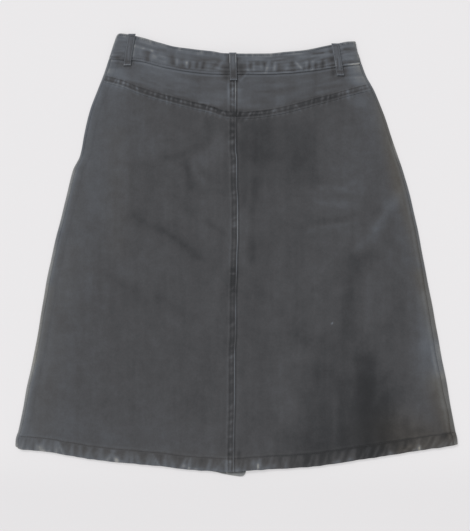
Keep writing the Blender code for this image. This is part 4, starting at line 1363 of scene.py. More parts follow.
def make_front_panel(half, denim):
    outer, inner, fade = front_surface(half)(FRONT_ROWS)
    name = f"front_panel_{half}"
    inner_fade_and_shade = INSIDE_FADE + painted_light_below_hem(inner[..., 0] / MM, REACH / 2 - inner[..., 1] / MM)
    piece = make_wall(f"{name}_cloth", outer, inner, fade, denim, None, inner_fade_and_shade)
    declare(piece, outer, ["floor"], name)


BAND_ROWS = stations(ladder((0, 0.15), (0.45, 0.4), (1.25, 0.8), (4.9, 0)), 22, FELL_LADDER[:9])
BAND_HOLE = (button_down(0) - HOLE_WIDTH / 2, button_down(0) + HOLE_WIDTH / 2)


def band_rows():
    """Rows of the waistband, two of which are at the buttonhole's edges."""
    top, bottom = float(front_waist_top(0)), float(front_band_bottom(0))
    slot = [((down - top) / (bottom - top), 0) for down in BAND_HOLE]
    at = BAND_ROWS[:, 0] * (bottom - top) + BAND_ROWS[:, 1]
    clear = np.min(np.abs(at[:, None] - (np.array(BAND_HOLE) - top)), axis=1) > 0.4
    rows = np.concatenate([BAND_ROWS[clear], slot])
    return rows[np.argsort(rows[:, 0] * (bottom - top) + rows[:, 1])]


LEFT_END_COLUMNS = ladder(
    (0, 0.4), (1.2, 1.2), (OVERLAP_END - HOLE_END, 1.25), (OVERLAP_END - HOLE_START, 1.25), (40, 0)
)
LEFT_END_RUN = stations(LEFT_END_COLUMNS, 128, [0, 1])
RIGHT_END_RUN = stations(ladder((0, 0.4), (1.2, 1.25), (20, 0)), 146, [0, 1])
BAND_BACK_RUN = stations([0, 1], 304, [0, 1])


STRONG_LEAST = 0.45
FINE_TOPS, STRONG_TOPS = 0.4, 0.3
ABOVE_SEAM = ((0.4, 1.2, 0.08),)
BELOW_TOP = ((13, 2.4, -0.03),)
# Lighter along the band's top edge, partly wear and partly painted rim light: how much, and how wide
TOP_RIM, TOP_RIM_WIDTH = 0.23, 4.5
BACK_STRONG = 0.35  # share of the strong puckers at the back
BAND_LEFT_CORNER, BAND_RIGHT_CORNER = 4.5, 1.2
LEFT_END_AT, RIGHT_END_AT = 1100, 700  # where the band's ends are, along its puckers
MORE_STREAKS = 0.3
PAST_SEAM = (((-0.6, 1.3, -0.06),), ((-4, 1.4, -0.055),))  # dark, on the left and the right half


def band_relief(along, t, height, share=1.0):
    """Puckers of the waistband, fine at its top stitching and strong over the seam; and fade."""
    up = height - t
    fine_share = bump(t - BAND_TOP_ROW + 0.4, 3.2)
    at_edge = STRONG_LEAST + (1 - STRONG_LEAST) * smooth(up, 0, 5.0)
    strong_share = share * smooth(up, 22, 13) * at_edge
    fine, strong = pucker(BAND_TOP_PUCKERS, along, t), pucker(BAND_PUCKERS, along, up)
    relief = np.maximum(fine * fine_share, strong * strong_share)
    relief = relief + groove(t - BAND_TOP_ROW) + groove(up - BAND_LOW_ROW)
    fade = worn(fine, BAND_TOP_HEIGHT, fine_share, FINE_TOPS)
    fade = fade + worn(strong, BAND_HEIGHT, strong_share, STRONG_TOPS)
    fade = fade + dark_row(up - BAND_LOW_ROW) + lined(ABOVE_SEAM, up) + lined(BELOW_TOP, t)
    return relief, fade + TOP_RIM * np.exp(-np.maximum(t, 0) / TOP_RIM_WIDTH)


def band_place(x, down, top, bottom):
    """Distance below the band's top edge, the band's height, and its thickness there."""
    t, tall = down - top(x), bottom(x) - top(x)
    return t, tall, band_wall(np.clip(t / tall, 0, 1))


def band_surface(rows):
    """The waistband, from the left front's end round the back to the right front's end."""

    def lip(x, down):
        return LIP * smooth(side_room(x, down), 2, 7)

    def back_edge(x):
        return band_bottom(x) + lip(x, band_bottom(x))

    above = across(waist_top, back_edge, rows)
    below = across(front_waist_top, front_band_bottom, rows)
    turns = {}
    for side, fold, corner in ((-1, left_fold, BAND_LEFT_CORNER), (1, right_fold, BAND_RIGHT_CORNER)):
        fold_x = meeting(fold, above, len(rows))
        down = above(fold_x)
        t = down - waist_top(fold_x)
        fold_x = fold_x - side * corner_inset(t, corner)
        share = np.clip(t / (band_bottom(fold_x) - waist_top(fold_x)), 0, 1)
        thickness = band_wall(share)
        height = back_under(fold_x, down) + thickness
        turns[side] = (fold_x, down, t, thickness, height)

    def flat_end(side, start, columns, under_of, origin):
        fold_x, _, _, _, height = turns[side]
        end = fold_x - side * height / 2
        x = spread(start, end, columns, side)
        down = below(x)
        t, tall, thickness = band_place(x, down, front_waist_top, front_band_bottom)
        relief, worn_tops = band_relief(origin + side * x, t, tall)
        relief = np.minimum(relief, PROUDEST)
        drawn = PROUDEST - relief
        outer, inner = flat_run(x, down, under_of(x, down) + drawn, thickness - drawn)
        outer, inner = round_edge(outer, inner, np.minimum(t, tall - t))
        outer, inner = round_edge(outer, inner, np.abs(x - start))
        return outer, inner, front_fade(x, down) + BAND_FADE + worn_tops

    def side_turn(side, origin):
        fold_x, down, t, thickness, height = turns[side]
        tall = band_bottom(fold_x) - waist_top(fold_x)
        relief, worn_tops = band_relief(origin + side * fold_x, t, tall)
        relief = relief + along_lines(WAIST_WRINKLES, fold_x, down)
        proud = relief * RISING + (np.minimum(relief, PROUDEST) - PROUDEST) * (1 - RISING)
        outer, inner = turn_run(fold_x, down, height, thickness, proud)
        outer, inner = round_edge(outer, inner, np.minimum(t, tall - t) + 0 * TURN_ANGLES)
        edge = edge_wear_and_rim_light(np.abs(outer[..., 0] - fold_x), 0 * down, side < 0)
        return outer, inner, PANEL_FADE + BAND_FADE + worn_tops + edge

    def back_part():
        start = turns[-1][0] + turns[-1][4] / 2
        end = turns[1][0] - turns[1][4] / 2
        x = spread(start, end, BAND_BACK_RUN)
        down = above(x)
        t, tall, thickness = band_place(x, down, waist_top, band_bottom)
        relief, worn_tops = band_relief(x + HALF_SPAN, t, tall, BACK_STRONG)
        strength = BAND_STREAKS * (1 + MORE_STREAKS * smooth(x, 0, 60))
        streaky = strength * streaks(43, x, down, 17, 2.6)
        marks = along_lines(BAND_MARKS, x, down) + streaky
        wrinkles = along_lines(WAIST_WRINKLES, x, down) + BAND_MARK_RISE * marks
        relief = (relief + wrinkles) * under_loops(x, down)
        inner = back_under(x, down)
        outer = inner + thickness + relief
        past = down - band_bottom(x)
        outer, inner = lap(outer, inner, whole_yoke_face(x, down)[0], past, lip(x, down))
        outer, inner = round_edge(outer, inner, t)
        on_left = smooth(x, *MIDDLE)
        fade = back_fade_and_shade(x, down) + BAND_FADE + worn_tops + marks
        for share, dark in zip((on_left, 1 - on_left), PAST_SEAM):
            fade = fade + share * lined(dark, past)
        return stacked(x, down, outer), stacked(x, down, inner), fade

    left_flat = flat_end(-1, OVERLAP_END, LEFT_END_RUN, left_front_under, LEFT_END_AT)
    right_flat = flat_end(1, -PLACKET_HALF, RIGHT_END_RUN, right_front_under, RIGHT_END_AT)
    left_turn = side_turn(-1, HALF_SPAN - 2 * abs(side_left(0)))
    right_turn = side_turn(1, HALF_SPAN)
    reverse = [part[:, ::-1] for part in joined(right_flat, right_turn)]
    outer, inner, fade = joined(left_flat, left_turn, back_part(), reverse)
    return moved(outer), moved(inner), fade


def under_loops(x, down):
    """Loops press the puckers under them flat."""
    kept = np.ones(np.broadcast(x, down).shape)
    for _, top_x, top_down, bottom_x, bottom_down, _ in BACK_LOOPS:
        middle = top_x + (bottom_x - top_x) * (down - top_down) / (bottom_down - top_down)
        kept = kept * smooth(np.abs(x - middle), LOOP_WIDTH / 2 - 1, LOOP_WIDTH / 2 + 2)
    return kept


def make_waistband(denim):
    rows = band_rows()
    outer, inner, fade = band_surface(rows)
    top, bottom = front_waist_top(0), front_band_bottom(0)
    at = top + rows[:, 0] * (bottom - top) + rows[:, 1]
    columns = OVERLAP_END - LEFT_END_RUN[:, 1][LEFT_END_RUN[:, 0] == 0]
    kept = np.ones((outer.shape[0] - 1, outer.shape[1] - 1), bool)
    in_rows = (at[:-1] + at[1:]) / 2
    in_columns = (columns[:-1] + columns[1:]) / 2
    in_slot = (in_rows > BAND_HOLE[0]) & (in_rows < BAND_HOLE[1])
    in_width = (in_columns > HOLE_START) & (in_columns < HOLE_END)
    kept[:, : len(in_columns)] &= ~(in_slot[:, None] & in_width)
    piece = make_wall("waistband_cloth", outer, inner, fade, denim, kept)
    declare(piece, outer, ["back_yoke_left", "back_yoke_right"], "waistband")


# The opening


PLACKET_COLUMNS = ladder(
    (-PLACKET_HALF, 0.3), (-15.1, 0.9), (HOLE_START, 1.3), (HOLE_END, 1.3), (13.1, 0.35),
    (OVERLAP_END, 0),
)
RIGHT_PLACKET_COLUMNS = ladder((-PLACKET_HALF, 0.35), (-14.6, 1.4), (14.6, 0.35), (PLACKET_HALF, 0))
CORNER_CUT = (7.0, 9.0)  # the size along x and down of the free edge's rounded corner at the hem
MOST_DRAWN = 0.6  # how far stitching and puckers draw the cloth in, at most
PLACKET_PALE = 0.05
PLACKET_EDGE = ((0, 1.6, 0.12),)
PLACKET_EDGE_INSIDE = ((0, 1.8, 0.12),)


def placket_rows():
    """Rows of either placket, with two at the edges of each of the left one's buttonholes."""
    length = float(left_front_hem(0) - front_top(0))
    stops = [(0, 0.6), (1.8, 2.4)]
    for index in range(1, BUTTON_COUNT):
        at = button_down(index) - float(front_top(0))
        stops += [(at - HOLE_WIDTH / 2, 1.2), (at + HOLE_WIDTH / 2, 2.4)]
    stops += [(length - HEM_FOLD - 2, 0.6), (length - HEM_ROW + 2, 1.8)]
    stops += [(length - 1.4, 0.35), (length, 0)]
    return np.array([(offset / length, 0) for offset in ladder(*stops)])


def placket_surface(half):
    left = half == "left"
    end = OVERLAP_END if left else PLACKET_HALF
    _, under_of, hem, *_ = FRONTS[half]

    def surface(rows, columns):
        x = spread(-PLACKET_HALF, end, columns) + 0 * rows[:, :1]
        if left:
            up = (1 - rows[:, :1]) * (REACH - front_top(0))
            cut_x, cut_down = CORNER_CUT
            cut = cut_x * quarter_round(up, cut_down)
            x = -PLACKET_HALF + (x + PLACKET_HALF) * (1 - cut / (end + PLACKET_HALF))
            end_here = end - cut
        else:
            end_here = end
        down = across(front_top, hem, rows)(x)
        up = hem(x) - down
        edge_room = np.minimum(x + PLACKET_HALF, end_here - x)
        drawn = -groove(edge_room - PLACKET_ROW) - groove(up - HEM_ROW)
        filled = pucker(SIDE_PUCKERS, down, edge_room) / 0.2
        drawn = drawn + 0.12 * (1 - filled) * bump(edge_room, 4)
        thickness = PLACKET_WALL + (HEM_WALL - PLACKET_WALL) * smooth(up, HEM_FOLD, HEM_FOLD - 1)
        drawn = np.clip(drawn, 0, MOST_DRAWN)
        outer = under_of(x, down) + drawn
        outer, inner = round_edge(outer, outer - drawn + thickness, np.minimum(edge_room, up))
        fade = front_fade(x, down) + PLACKET_PALE + lined(PLACKET_EDGE, edge_room) + hem_wear_and_rim_light(x, up)
        fade = fade + dark_row(edge_room - PLACKET_ROW)
        inner_fade_and_shade = PANEL_FADE + lined(PLACKET_EDGE_INSIDE, edge_room) + hem_wear_and_rim_light(x, up)
        inner_fade_and_shade = inner_fade_and_shade + painted_light_below_hem(x, down)
        return placed(x, down, outer), placed(x, down, inner), fade, inner_fade_and_shade

    return surface


def make_placket(half, denim):
    offsets = PLACKET_COLUMNS if half == "left" else RIGHT_PLACKET_COLUMNS
    columns = np.array([(0, offset + PLACKET_HALF) for offset in offsets])
    rows = placket_rows()
    outer, inner, fade, inner_fade_and_shade = placket_surface(half)(rows, columns)
    kept = np.ones((outer.shape[0] - 1, outer.shape[1] - 1), bool)
    if half == "left":
        down = rows[:, 0] * float(left_front_hem(0) - front_top(0)) + float(front_top(0))
        row_middle = (down[:-1] + down[1:]) / 2
        middle = (np.array(offsets[:-1]) + np.array(offsets[1:])) / 2
        in_width = (middle > HOLE_START) & (middle < HOLE_END)
        for index in range(1, BUTTON_COUNT):
            kept[np.ix_(np.abs(row_middle - button_down(index)) < HOLE_WIDTH / 2, in_width)] = False
    name = f"front_placket_{half}"
    piece = make_wall(f"{name}_cloth", outer, inner, fade, denim, kept, inner_fade_and_shade)
    declare(piece, outer, ["floor"], name)


BUTTON_MIDDLE = 0.05  # the smallest ring of a button
BUTTON_PROFILE = (
    # radius, height above the ground
    (BUTTON_MIDDLE, 0.55), (1.2, 0.56), (2.2, 0.62), (2.6, 0.72), (3.0, 0.74), (3.4, 0.66), (4.6, 0.58),
    (5.7, 0.55), (6.0, 0.45), (6.25, 0.2), (6.5, 0.06), (6.9, 0.0), (7.4, 0.0), (7.85, 0.08),
    (8.2, 0.3), (8.42, 0.62), (8.5, 0.95), (8.48, 1.3), (8.36, 1.65), (8.0, 2.05), (7.6, 2.28),
    (7.1, 2.38), (4.0, CAP_HEIGHT), (1.9, CAP_HEIGHT), (1.6, CAP_HEIGHT + 0.1),
    (POST_RADIUS, CAP_HEIGHT + 0.3),
)
BUTTON_SIDES = 48
POST_EDGE = 0.1


def circle(sides):
    angles = 2 * math.pi * np.arange(sides) / sides
    return np.cos(angles), np.sin(angles)


def tube_faces(rings, sides):
    """Faces of a closed tube through rings of points."""
    faces = []
    for ring in range(rings - 1):
        for k in range(sides):
            low, following = ring * sides, (k + 1) % sides
            high = low + sides
            faces.append([low + k, low + following, high + following, high + k])
    first, last = range(sides), range((rings - 1) * sides, rings * sides)
    return faces + [list(reversed(first)), list(last)]


def make_button(index, metal):
    """A shank button, its face down; its post goes through the buttonhole to the right front."""
    down = button_down(index)
    top = float(opening_lift(down) + opening_wall(0, down))
    post = ((POST_RADIUS, top - POST_EDGE), (POST_RADIUS - POST_EDGE, top), (BUTTON_MIDDLE, top))
    profile = np.array((*BUTTON_PROFILE, *post))
    cosines, sines = circle(BUTTON_SIDES)
    radius, height = profile[:, :1], profile[:, 1:]
    points = placed(radius * cosines, down + radius * sines, height).reshape(-1, 3)
    faces = [face[::-1] for face in tube_faces(len(profile), BUTTON_SIDES)]
    piece = new_piece(f"button_{index + 1}_metal", points, faces, metal)
    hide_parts(f"button_{index + 1}")


# Belt loops


LOOP_COLUMNS = np.array(
    [(0, x) for x in ladder((-LOOP_WIDTH / 2, 0.3), (-2.4, 0.6), (2.4, 0.3), (LOOP_WIDTH / 2, 0))]
)


def loop_rows(length):
    stops = ((0, 0.25), (1.0, 0.6), (4.6, 1.2), (length - 4.6, 0.6), (length - 1.0, 0.25), (length, 0))
    return np.array([(0, offset) for offset in ladder(*stops)])


LOOP_EDGE = ((4.8, 0.8, 0.22),)  # from its middle, as is the next one
LOOP_EDGE_FADE = ((4.8, 0.9, 0.06),)
LOOP_END_FADE = ((1.2, 1.2, 0.1),)
LOOP_FADE = PANEL_FADE + BAND_FADE - 0.01
LOOP_ROW_FADE = 0.5
FRONT_LOOP_UP = 0.5
LOOP_PRESSED = 0.2  # a back loop is thinner by this
LOOP_SAMPLES = np.linspace(-0.5, 0.5, 7)  # across its width, where it must clear what it lies on


def loop_edges(off, along, length):
    """Distance from the nearest edge or end of a belt loop."""
    return np.minimum(LOOP_WIDTH / 2 - np.abs(off), np.minimum(along, length - along))


def loop_relief(off, along, length):
    """A loop's edges are proud of its stitching, and so are its ends, which are turned under."""
    off, ends = np.abs(off), np.minimum(along, length - along)
    turned = 0.28 * smooth(ends, LOOP_BAR + 0.8, LOOP_BAR - 0.4)
    return lined(LOOP_EDGE, off) + turned + groove(off - LOOP_ROW) * smooth(ends, 1, 3)


def loop_fade(off, along, length):
    off, ends = np.abs(off), np.minimum(along, length - along)
    crests = lined(LOOP_EDGE_FADE, off) + lined(LOOP_END_FADE, ends)
    return LOOP_FADE + crests + LOOP_ROW_FADE * dark_row(off - LOOP_ROW)


def back_loop_surface(top_x, top_down, bottom_x, bottom_down, most_slack):
    """A strip over the waistband, tacked at its top and, past the band, to the yoke."""
    length = bottom_down - top_down
    edge = float(band_bottom(bottom_x)) + LOOP_OVERHANG

    def surface(rows, columns):
        along = rows[:, 1:]
        down = top_down + along
        middle = top_x + (bottom_x - top_x) * along / length
        wide = middle + LOOP_SAMPLES * LOOP_WIDTH
        over_band = np.max(back_under(wide, down), axis=1, keepdims=True)
        over_band = over_band + BAND_WALL + BAND_SEAM_RISE
        yoke, yoke_relief, _ = whole_yoke_face(wide, down)
        over_yoke = np.max(yoke - yoke_relief, axis=1, keepdims=True) + LOOP_CLEAR
        slack = most_slack * smooth(along, 3, 10) * smooth(down - edge, 0, -9)
        step = (over_yoke - over_band) * smooth(down - edge, 0, 3.5)
        under = over_band + step + SEAM_GAP + slack
        off = columns[:, 1]
        relief = loop_relief(off, along, length)
        dome = LOOP_TILT * (1 - (off / (LOOP_WIDTH / 2)) ** 2) * slack
        edges = loop_edges(off, along, length)
        inner = under + dome + 0 * off
        outer, inner = round_edge(inner + LOOP_WALL - LOOP_PRESSED + relief, inner, edges, LOOP_ROUND)
        x = middle + off
        fade = loop_fade(off, along, length) + toned(LOOP_MARKS, x, down)
        return placed(x, down + 0 * off, outer), placed(x, down + 0 * off, inner), fade

    return surface, length


def front_loop_surface(sign):
    """A strip flat on the surface, under the front of the band."""
    middle = sign * FRONT_LOOP_X
    length = float(front_loop_end(middle) - front_waist_top(middle))

    def surface(rows, columns):
        off, along = columns[:, 1], rows[:, 1:]
        x = middle + off + 0 * along
        down = front_waist_top(x) + along
        relief = loop_relief(off, along, length)
        edges = loop_edges(off, along, length)
        outer, inner = round_edge(FRONT_LOOP_UP - relief, LOOP_WALL + 0 * relief, edges)
        return placed(x, down, outer), placed(x, down, inner), loop_fade(off, along, length)

    return surface, length


def loops():
    """Name, surface, length, and what each belt loop rests on."""
    found = []
    for name, *ends in BACK_LOOPS:
        found.append((name, *back_loop_surface(*ends), "waistband_cloth"))
    for half, sign in (("left", -1), ("right", 1)):
        found.append((f"belt_loop_front_{half}", *front_loop_surface(sign), "floor"))
    return found


def make_loops(denim):
    for name, surface, length, rests_on in loops():
        outer, inner, fade = surface(loop_rows(length), LOOP_COLUMNS)
        piece = make_wall(f"{name}_cloth", outer, inner, fade, denim)
        declare(piece, outer, [rests_on], name)


# Stitches


def spaced(line, inner_line, distances):
    """Points at distances along a line, and the cloth's outward direction there."""
    steps = np.linalg.norm(np.diff(line, axis=0), axis=1)
    at = np.concatenate([[0], np.cumsum(steps)])
    points = np.stack([np.interp(distances, at, line[:, k]) for k in range(3)], axis=1)
    outward = line - inner_line
    outward = np.stack([np.interp(distances, at, outward[:, k]) for k in range(3)], axis=1)
    return points, outward / np.linalg.norm(outward, axis=1, keepdims=True)


def line_length(line):
    return float(np.linalg.norm(np.diff(line, axis=0), axis=1).sum())


def running(outer, inner, skip=1.0):
    """Stitches end to end along a line on the cloth: their starts, ends and outward directions."""
    total = line_length(outer) / MM
    first = np.arange(skip, total - STITCH_LENGTH - skip, STITCH_PITCH)
    starts, outward = spaced(outer, inner, first * MM)
    ends, _ = spaced(outer, inner, (first + STITCH_LENGTH) * MM)
    return starts, ends, outward


def close_set(one_side, other_side):
    """Close stitches from one line to another, as in a bar tack; a line is (outer, inner)."""
    count = max(2, round(line_length(one_side[0]) / MM / BAR_PITCH))
    share = (np.arange(count) + 0.5) / count
    starts, outward = spaced(*one_side, share * line_length(one_side[0]))
    ends, _ = spaced(*other_side, share * line_length(other_side[0]))
    return starts, ends, outward


STITCH_RINGS = (
    # share of the length, height, radius
    (0.0, -THREAD_DIP, 0.6),
    (0.2, THREAD_LIFT, 1.0),
    (0.8, THREAD_LIFT, 1.0),
    (1.0, -THREAD_DIP, 0.6),
)


def sew(name, sets, thread):
    """One piece of thread from sets of stitches."""
    starts, ends, outward = (np.concatenate(parts) for parts in zip(*sets))
    run = ends - starts
    side = np.cross(outward, run)
    side /= np.linalg.norm(side, axis=1, keepdims=True)
    cosines, sines = (values[:, None] for values in circle(THREAD_SIDES))
    rings = []
    for share, height, size in STITCH_RINGS:
        radius = THREAD_RADIUS * size * MM
        middle = starts + run * share + outward * height * MM
        around = side[:, None] * cosines + outward[:, None] * sines
        rings.append(middle[:, None] + radius * around)
    points = np.stack(rings, axis=1)
    per_stitch = len(STITCH_RINGS) * THREAD_SIDES
    one_stitch = tube_faces(len(STITCH_RINGS), THREAD_SIDES)
    faces = [[i + n * per_stitch for i in face] for n in range(len(starts)) for face in one_stitch]
    new_piece(name, points.reshape(-1, 3), faces, thread)


def row_of(surface, row, columns):
    outer, inner = surface(one(*row), columns)[:2]
    return outer[0], inner[0]


def column_of(surface, rows, at):
    outer, inner = surface(rows, one(*at))[:2]
    return outer[:, 0], inner[:, 0]


def sew_back(thread):
    yoke_rows, hem_row = [], []
    for half, columns in (("left", LEFT_COLUMNS), ("right", RIGHT_COLUMNS)):
        yoke, panel = back_surface("yoke", half), back_surface("panel", half)
        for distance in YOKE_ROWS_UP:
            yoke_rows.append(running(*row_of(yoke, (1, -LIP - distance), columns)))
        hem_row.append(running(*row_of(panel, (1, -HEM_ROW), columns)))
    for half in ("left", "right"):
        outer, inner = row_of(front_surface(half), (1, -HEM_ROW), FRONT_RUN)
        hem_row.append(running(outer, inner))
    sew("stitches_yoke_seam", yoke_rows, thread)
    sew("stitches_hem", hem_row, thread)
    centre = []
    for kind, rows in (("yoke", YOKE_ROWS), ("panel", PANEL_ROWS)):
        surface = back_surface(kind, "left")
        for distance in CENTRE_ROWS:
            centre.append(running(*column_of(surface, rows, (1, -LIP - distance))))
    sew("stitches_centre_seam", centre, thread)


def sew_waistband(thread):
    sets = []
    for row in ((0, BAND_TOP_ROW), (1, -BAND_LOW_ROW - LIP)):
        outer, inner, _ = band_surface(one(*row))
        sets.append(running(outer[0], inner[0]))
    sew("stitches_waistband", sets, thread)


def sew_loops(washed_thread):
    sets = []
    for _, surface, length, _ in loops():
        rows = loop_rows(length)
        for side in (-LOOP_ROW, LOOP_ROW):
            sets.append(running(*column_of(surface, rows, (0, side)), skip=LOOP_SKIP))
        middle = LOOP_COLUMNS[np.abs(LOOP_COLUMNS[:, 1]) < TACK_HALF]
        for ends in (TACK, [length - at for at in reversed(TACK)]):
            sets.append(close_set(*[row_of(surface, (0, at), middle) for at in ends]))
    sew("stitches_belt_loops", sets, washed_thread)


def slot_edges(index, surface, to_row):
    """Stitches round one buttonhole, from its edge outwards."""
    x = np.linspace(HOLE_START - HOLE_PAST, HOLE_END + HOLE_PAST, 12)
    columns = np.array([(0, at + PLACKET_HALF) for at in x])
    sets = []
    for side in (-1, 1):
        ends = [button_down(index) + side * (HOLE_WIDTH / 2 + out) for out in HOLE_STITCHES]
        sets.append(close_set(*[row_of(surface, to_row(end), columns) for end in ends]))
    return sets


def sew_opening(thread):
    sets = []
    for half, end in (("left", OVERLAP_END), ("right", PLACKET_HALF)):
        surface, rows = placket_surface(half), placket_rows()
        for at in (PLACKET_ROW, end + PLACKET_HALF - PLACKET_ROW):
            sets.append(running(*column_of(surface, rows, (0, at))))
    length = float(left_front_hem(0) - front_top(0))
    surface = placket_surface("left")
    for index in range(1, BUTTON_COUNT):
        sets += slot_edges(index, surface, lambda down: ((down - float(front_top(0))) / length, 0))
    sew("stitches_opening", sets, thread)


# Finishes


class Link:
    """A shader socket. Sums and products of links are written as Python expressions."""

    def __init__(self, finish, socket):
        self.finish = finish
        self.socket = socket

    def math(self, operation, one, other):
        return self.finish.node("ShaderNodeMath", {"operation": operation}, {0: one, 1: other})

    def __add__(self, other):
        return self.math("ADD", self, other)

    def __radd__(self, other):
        return self.math("ADD", other, self)

    def __sub__(self, other):
        return self.math("SUBTRACT", self, other)

    def __rsub__(self, other):
        return self.math("SUBTRACT", other, self)

    def __mul__(self, other):
        return self.math("MULTIPLY", self, other)

    def __rmul__(self, other):
        return self.math("MULTIPLY", other, self)


class Finish:
    """A material under construction, with a Principled shader at its end."""

    def __init__(self, name, **constants):
        self.material = bpy.data.materials.new(name)
        self.material.use_nodes = True
        self.tree = self.material.node_tree
        self.shader = self.tree.nodes["Principled BSDF"]
        for socket, value in constants.items():
            self.shader.inputs[socket.replace("_", " ")].default_value = value

    def node(self, kind, settings=None, inputs=None, output=0):
        made = self.tree.nodes.new(kind)
        for setting, value in (settings or {}).items():
            setattr(made, setting, value)
        for socket, value in (inputs or {}).items():
            self.feed(made.inputs[socket], value)
        return Link(self, made.outputs[output])

    def feed(self, socket, value):
        if isinstance(value, Link):
            self.tree.links.new(value.socket, socket)
        else:
            socket.default_value = value

    def end(self, **inputs):
        for socket, value in inputs.items():
            self.feed(self.shader.inputs[socket.replace("_", " ")], value)
        return self.material

    def place(self):
        return self.node("ShaderNodeTexCoord", output="Object")

    def axis(self, place, letter):
        return self.node("ShaderNodeSeparateXYZ", inputs={0: place}, output=letter)

    def stored(self, name):
        """What the cloth knows at each of its points."""
        return self.node("ShaderNodeAttribute", {"attribute_name": name}, output="Fac")

    def wave(self, value, length):
        inputs = {0: value * (2 * math.pi / length)}
        return self.node("ShaderNodeMath", {"operation": "SINE"}, inputs)

    def noise(self, place, scale, detail=2.0):
        """Noise about 0, from -0.5 to 0.5, at a scale in features per metre."""
        inputs = {"Vector": place, "Scale": scale, "Detail": detail}
        return self.node("ShaderNodeTexNoise", inputs=inputs) - 0.5

    def stretched(self, place, x, y, z):
        inputs = {0: place, 1: (x, y, z)}
        return self.node("ShaderNodeVectorMath", {"operation": "MULTIPLY"}, inputs)

    def mix(self, factor, one, other):
        return self.node("ShaderNodeMix", {"data_type": "RGBA"}, {0: factor, 6: one, 7: other}, 2)

    def blend(self, value, stops):
        """Colours at stops, blended in between."""
        made = self.tree.nodes.new("ShaderNodeValToRGB")
        elements = made.color_ramp.elements
        for element in list(elements)[1:]:
            elements.remove(element)
        elements[0].position, elements[0].color = stops[0]
        for position, colour in stops[1:]:
            elements.new(position).color = colour
        self.feed(made.inputs[0], value)
        return Link(self, made.outputs[0])

    def ramp(self, value, start, end):
        inputs = {"Value": value, "From Min": start, "From Max": end}
        return self.node("ShaderNodeMapRange", {"interpolation_type": "SMOOTHSTEP"}, inputs)

    def bumped(self, height, distance, strength=1.0):
        inputs = {"Height": height, "Distance": distance, "Strength": strength}
        return self.node("ShaderNodeBump", inputs=inputs)


DARKEST = -0.1  # the fade where the colours start
FADES = (
    # fade above the darkest, colour
    (0.0, (0.0185, 0.019, 0.0205, 1)),
    (0.1, (0.0313, 0.0321, 0.0346, 1)),
    (0.27, (0.0656, 0.066, 0.0696, 1)),
    (0.5, (0.1125, 0.1226, 0.1388, 1)),
    (1.0, (0.27, 0.275, 0.273, 1)),
)
BROWN = (1.13, 1.03, 0.88)  # what the colour is multiplied by where it is brownest
WARP_PITCH = 0.00045
TWILL_PITCH = 0.00066
TWILL_SLOPE = 0.5
WARP_JITTER, TWILL_JITTER = 0.00006, 0.00012
RELIEF_DEPTH = 0.00009
METAL_COLOURS = ((0.10, 0.095, 0.09, 1), (0.22, 0.21, 0.19, 1))
DARK_THREAD, WASHED_THREAD = 0.026, 0.085


def make_denim():
    finish = Finish("washed_black_denim", Sheen_Weight=0.18, Sheen_Roughness=0.5)
    finish.shader.inputs["Specular IOR Level"].default_value = 0.25
    place = finish.place()
    x = finish.axis(place, "X")
    y = finish.axis(place, "Y")
    fade = finish.stored("fade")
    clouds = finish.noise(place, 24, 3)
    mottle = finish.noise(place, 75, 4)
    speckle = finish.noise(place, 300, 3)
    grain = finish.noise(place, 900, 3)
    slub = finish.noise(finish.stretched(place, 1500, 70, 400), 1, 2)
    jitter = finish.noise(place, 900, 1)
    warp = finish.wave(x + WARP_JITTER * jitter, WARP_PITCH)
    twill = finish.wave(x + y * TWILL_SLOPE + TWILL_JITTER * jitter, TWILL_PITCH)
    weave = twill * 0.65 + warp * 0.35
    unlike = clouds * 0.08 + mottle * 0.11 + speckle * 0.07 + grain * 0.038 + slub * 0.038
    even = fade + unlike * (finish.ramp(fade, -0.1, 0.16) * 0.45 + 0.55)
    scuffed = finish.ramp(finish.noise(place, 520, 3) + fade * 0.9, 0.28, 0.62)
    spots = even + finish.ramp(fade, 0.4, 0.75) * scuffed * 0.3
    black = finish.blend(spots + weave * 0.027 - DARKEST, FADES)
    brown = finish.stored("brown")
    colour = finish.mix(brown, black, finish.stretched(black, *BROWN))
    roughness = 0.86 + grain * 0.1 - weave * 0.04
    relief = weave * 0.5 + slub * 1.2 + grain * 1.1
    normal = finish.bumped(relief, RELIEF_DEPTH)
    return finish.end(Base_Color=colour, Roughness=roughness, Normal=normal)


def make_thread(name, grey):
    finish = Finish(name, Roughness=0.7, Sheen_Weight=0.1)
    place = finish.place()
    darker, lighter = [(tone, tone, 1.1 * tone, 1) for tone in (0.7 * grey, 1.3 * grey)]
    return finish.end(Base_Color=finish.mix(finish.noise(place, 300) + 0.5, darker, lighter))


def make_metal():
    finish = Finish("dark_metal", Metallic=1.0)
    place = finish.place()
    tarnish = finish.noise(place, 420, 3)
    colour = finish.mix(tarnish + 0.5, *METAL_COLOURS)
    return finish.end(Base_Color=colour, Roughness=0.38 + tarnish * 0.2)


# Ground, light and camera


GROUND_PALE = ((0.83, 0.815, 0.82, 1), (0.87, 0.855, 0.865, 1))
GROUND_DIM = ((0.79, 0.775, 0.78, 1), (0.83, 0.815, 0.825, 1))
SKY_COLOUR, SKY_STRENGTH = (0.98, 0.985, 1.0, 1), 0.55
LAMP_STRENGTH, LAMP_WIDTH, LAMP_TILT = 1.75, 24, (-30, -26, 0)


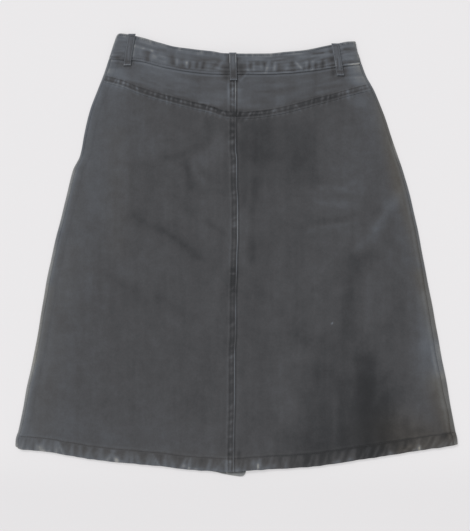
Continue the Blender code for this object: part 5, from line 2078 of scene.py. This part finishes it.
def make_floor():
    finish = Finish("pale_ground", Roughness=0.9, Emission_Strength=GROUND_GLOW)
    place = finish.place()
    y = finish.axis(place, "Y")
    shade = finish.ramp(y, *SHADED_GROUND)
    tone = finish.noise(place, 260, 3) * 0.12 + 0.5
    pale = finish.mix(tone, *GROUND_PALE)
    dim = finish.mix(tone, *GROUND_DIM)
    colour = finish.mix(shade, dim, pale)
    low = cad_box[0][2] - FLOOR_GAP
    half = FLOOR_SIZE / 2
    mesh = bpy.data.meshes.new("floor")
    corners = [(-half, -half, low), (half, -half, low), (half, half, low), (-half, half, low)]
    mesh.from_pydata(corners, [], [(0, 1, 2, 3)])
    lit = finish.stretched(colour, *[GROUND_LIT] * 3)
    mesh.materials.append(finish.end(Base_Color=lit, Emission_Color=colour))
    floor = linked("floor", mesh)
    floor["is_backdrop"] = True


def make_light():
    world = bpy.data.worlds.new("soft_white_room")
    bpy.context.scene.world = world
    world.use_nodes = True
    sky = world.node_tree.nodes["Background"].inputs
    sky["Color"].default_value = SKY_COLOUR
    sky["Strength"].default_value = SKY_STRENGTH
    lamp = bpy.data.lights.new("high_softbox", "SUN")
    lamp.energy = LAMP_STRENGTH
    lamp.angle = math.radians(LAMP_WIDTH)
    linked("high_softbox", lamp).rotation_euler = np.radians(LAMP_TILT)


def make_camera():
    lens = bpy.data.cameras.new("camera")
    view_height = VIEW_WIDTH * IMAGE_HEIGHT_PX / IMAGE_WIDTH_PX
    skirt_top = 0.5 * cad_box[1][2] / MM
    lens.sensor_width = SENSOR_MM
    lens.lens = SENSOR_MM * CAMERA_HEIGHT / view_height
    lens.clip_end = 100
    camera = linked("camera", lens)
    camera.location = placed(VIEW_MIDDLE_X, VIEW_MIDDLE_DOWN, CAMERA_HEIGHT + skirt_top)
    bpy.context.scene.camera = camera
    bpy.context.scene.view_settings.view_transform = "Standard"


def main():
    denim, metal = make_denim(), make_metal()
    thread = make_thread("dark_thread", DARK_THREAD)
    washed_thread = make_thread("washed_thread", WASHED_THREAD)
    for half in ("left", "right"):
        make_back_piece("yoke", half, denim)
        make_back_piece("panel", half, denim)
        make_front_panel(half, denim)
        make_placket(half, denim)
    make_waistband(denim)
    make_loops(denim)
    for index in range(BUTTON_COUNT):
        make_button(index, metal)
    sew_back(thread)
    sew_waistband(thread)
    sew_loops(washed_thread)
    sew_opening(thread)
    make_floor()
    make_light()
    make_camera()


main()
boxes = {"cad": cad_box, "visual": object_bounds()}
{name: [list(corner) for corner in box] for name, box in boxes.items()}
